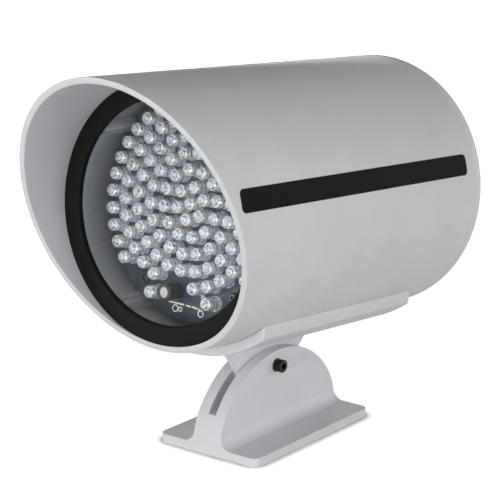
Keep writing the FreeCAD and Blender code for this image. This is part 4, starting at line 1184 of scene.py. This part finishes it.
class AddStage(bpy.types.Operator):
    """Adds the floor, the soft lamps, the surroundings and the camera"""
    bl_idname = "illuminator.add_stage"
    bl_label = "Add stage"

    def execute(self, context):
        mesh = bmesh.new()
        bmesh.ops.create_grid(mesh, x_segments=1, y_segments=1, size=6.0)
        data = mesh_data(mesh, "floor")
        data.materials.append(finish_of(pale_floor))
        floor = placed("floor", data)
        # Name, place in metres, width and height in metres, power in watts.
        for name, place, width, height, power in (
                ("front_light", (0.1, -1.5, 0.2), 0.8, 0.35, 10.66),
                ("side_light", (1.5, -0.1, 0.2), 0.8, 0.35, 7.45),
                ("high_light", (0.75, -0.95, 0.95), 0.8, 0.8, 1.82),
                ("left_light", (-1.05, -1.05, 0.35), 0.8, 0.35, 3.8),
                ("hood_light", (0.0, -1.1, 1.1), 0.8, 0.8, 2.74),
                ("rear_light", (1.1, 1.05, 0.35), 0.8, 0.35, 3.92),
                ("back_light", (-0.95, 1.2, 0.09), 0.8, 0.14, 5.0)):
            self.add_light(name, place, width, height, power)
        self.add_world()
        self.add_camera()
        bpy.context.scene.view_settings.view_transform = "Standard"
        return {"FINISHED"}

    def add_light(self, name, place, width, height, power):
        """A large soft lamp that faces the middle of the object."""
        data = bpy.data.lights.new(name, "AREA")
        data.shape = "RECTANGLE"
        data.size, data.size_y = width, height
        data.energy = power
        middle = Vector((0.0, 0.0, 0.09))
        lamp = placed(name, data)
        lamp.location = place
        lamp.rotation_euler = (middle - Vector(place)).to_track_quat("-Z", "Y").to_euler()

    def add_world(self):
        """Dim grey light all round, white where it is seen."""
        world = bpy.data.worlds.new("surroundings")
        bpy.context.scene.world = world
        world.use_nodes = True
        tree = world.node_tree
        tree.nodes.clear()
        dim = add_node(tree, "Background", {"Strength": 0.02})
        white = add_node(tree, "Background", {"Color": (1.0, 1.0, 1.0, 1.0)})
        split_rays(tree, "OutputWorld", dim, white)

    def add_camera(self):
        """The photograph's camera, at the place and turn that fit its outlines."""
        data = bpy.data.cameras.new("photo_camera")
        data.sensor_width, data.lens = 36.0, 143.18
        data.clip_start, data.clip_end = 0.01, 50.0
        camera = placed("photo_camera", data)
        right = Vector((0.79186, 0.61068, 0.00507))
        up = Vector((-0.16492, 0.20584, 0.96459))
        back = Vector((0.58801, -0.76466, 0.26371))
        facing = Matrix((right, up, back)).transposed().to_4x4()
        camera.matrix_world = Matrix.Translation((0.48192, -0.63838, 0.29723)) @ facing
        bpy.context.scene.camera = camera


STEPS = (AddFoot, AddHingeScrew, AddSaddle, AddHousingTube, AddSideStrip, AddWindow, AddLightBoard, AddLamps,
         AddSensorAndLens, AddBoardMarks, AddScrews, AddRearEnd, FinishSolids, AddStage)

GROUPS = {
    "housing": IlluminatorHousing,
    "lamps": IlluminatorLamps,
    "mount": IlluminatorMount,
    "colours": IlluminatorColours,
}


class IlluminatorPanel(bpy.types.Panel):
    """Lists the steps that build the illuminator and the sizes they use"""
    bl_idname = "VIEW3D_PT_illuminator"
    bl_label = "Infrared illuminator"
    bl_space_type = "VIEW_3D"
    bl_region_type = "UI"
    bl_category = "Illuminator"

    def draw(self, context):
        for step in STEPS:
            self.layout.operator(step.bl_idname)
        for group, kind in GROUPS.items():
            box = self.layout.box()
            for name in kind.__annotations__:
                box.prop(settings(group), name)


def register():
    for group, kind in GROUPS.items():
        bpy.utils.register_class(kind)
        setattr(bpy.types.Scene, "illuminator_" + group, bpy.props.PointerProperty(type=kind))
    for step in STEPS + (IlluminatorPanel,):
        bpy.utils.register_class(step)


def unregister():
    for step in reversed(STEPS + (IlluminatorPanel,)):
        bpy.utils.unregister_class(step)
    for group, kind in reversed(list(GROUPS.items())):
        delattr(bpy.types.Scene, "illuminator_" + group)
        bpy.utils.unregister_class(kind)


def main():
    register()
    for step in STEPS:
        family, name = step.bl_idname.split(".")
        getattr(getattr(bpy.ops, family), name)()


if __name__ == "__main__":
    main()
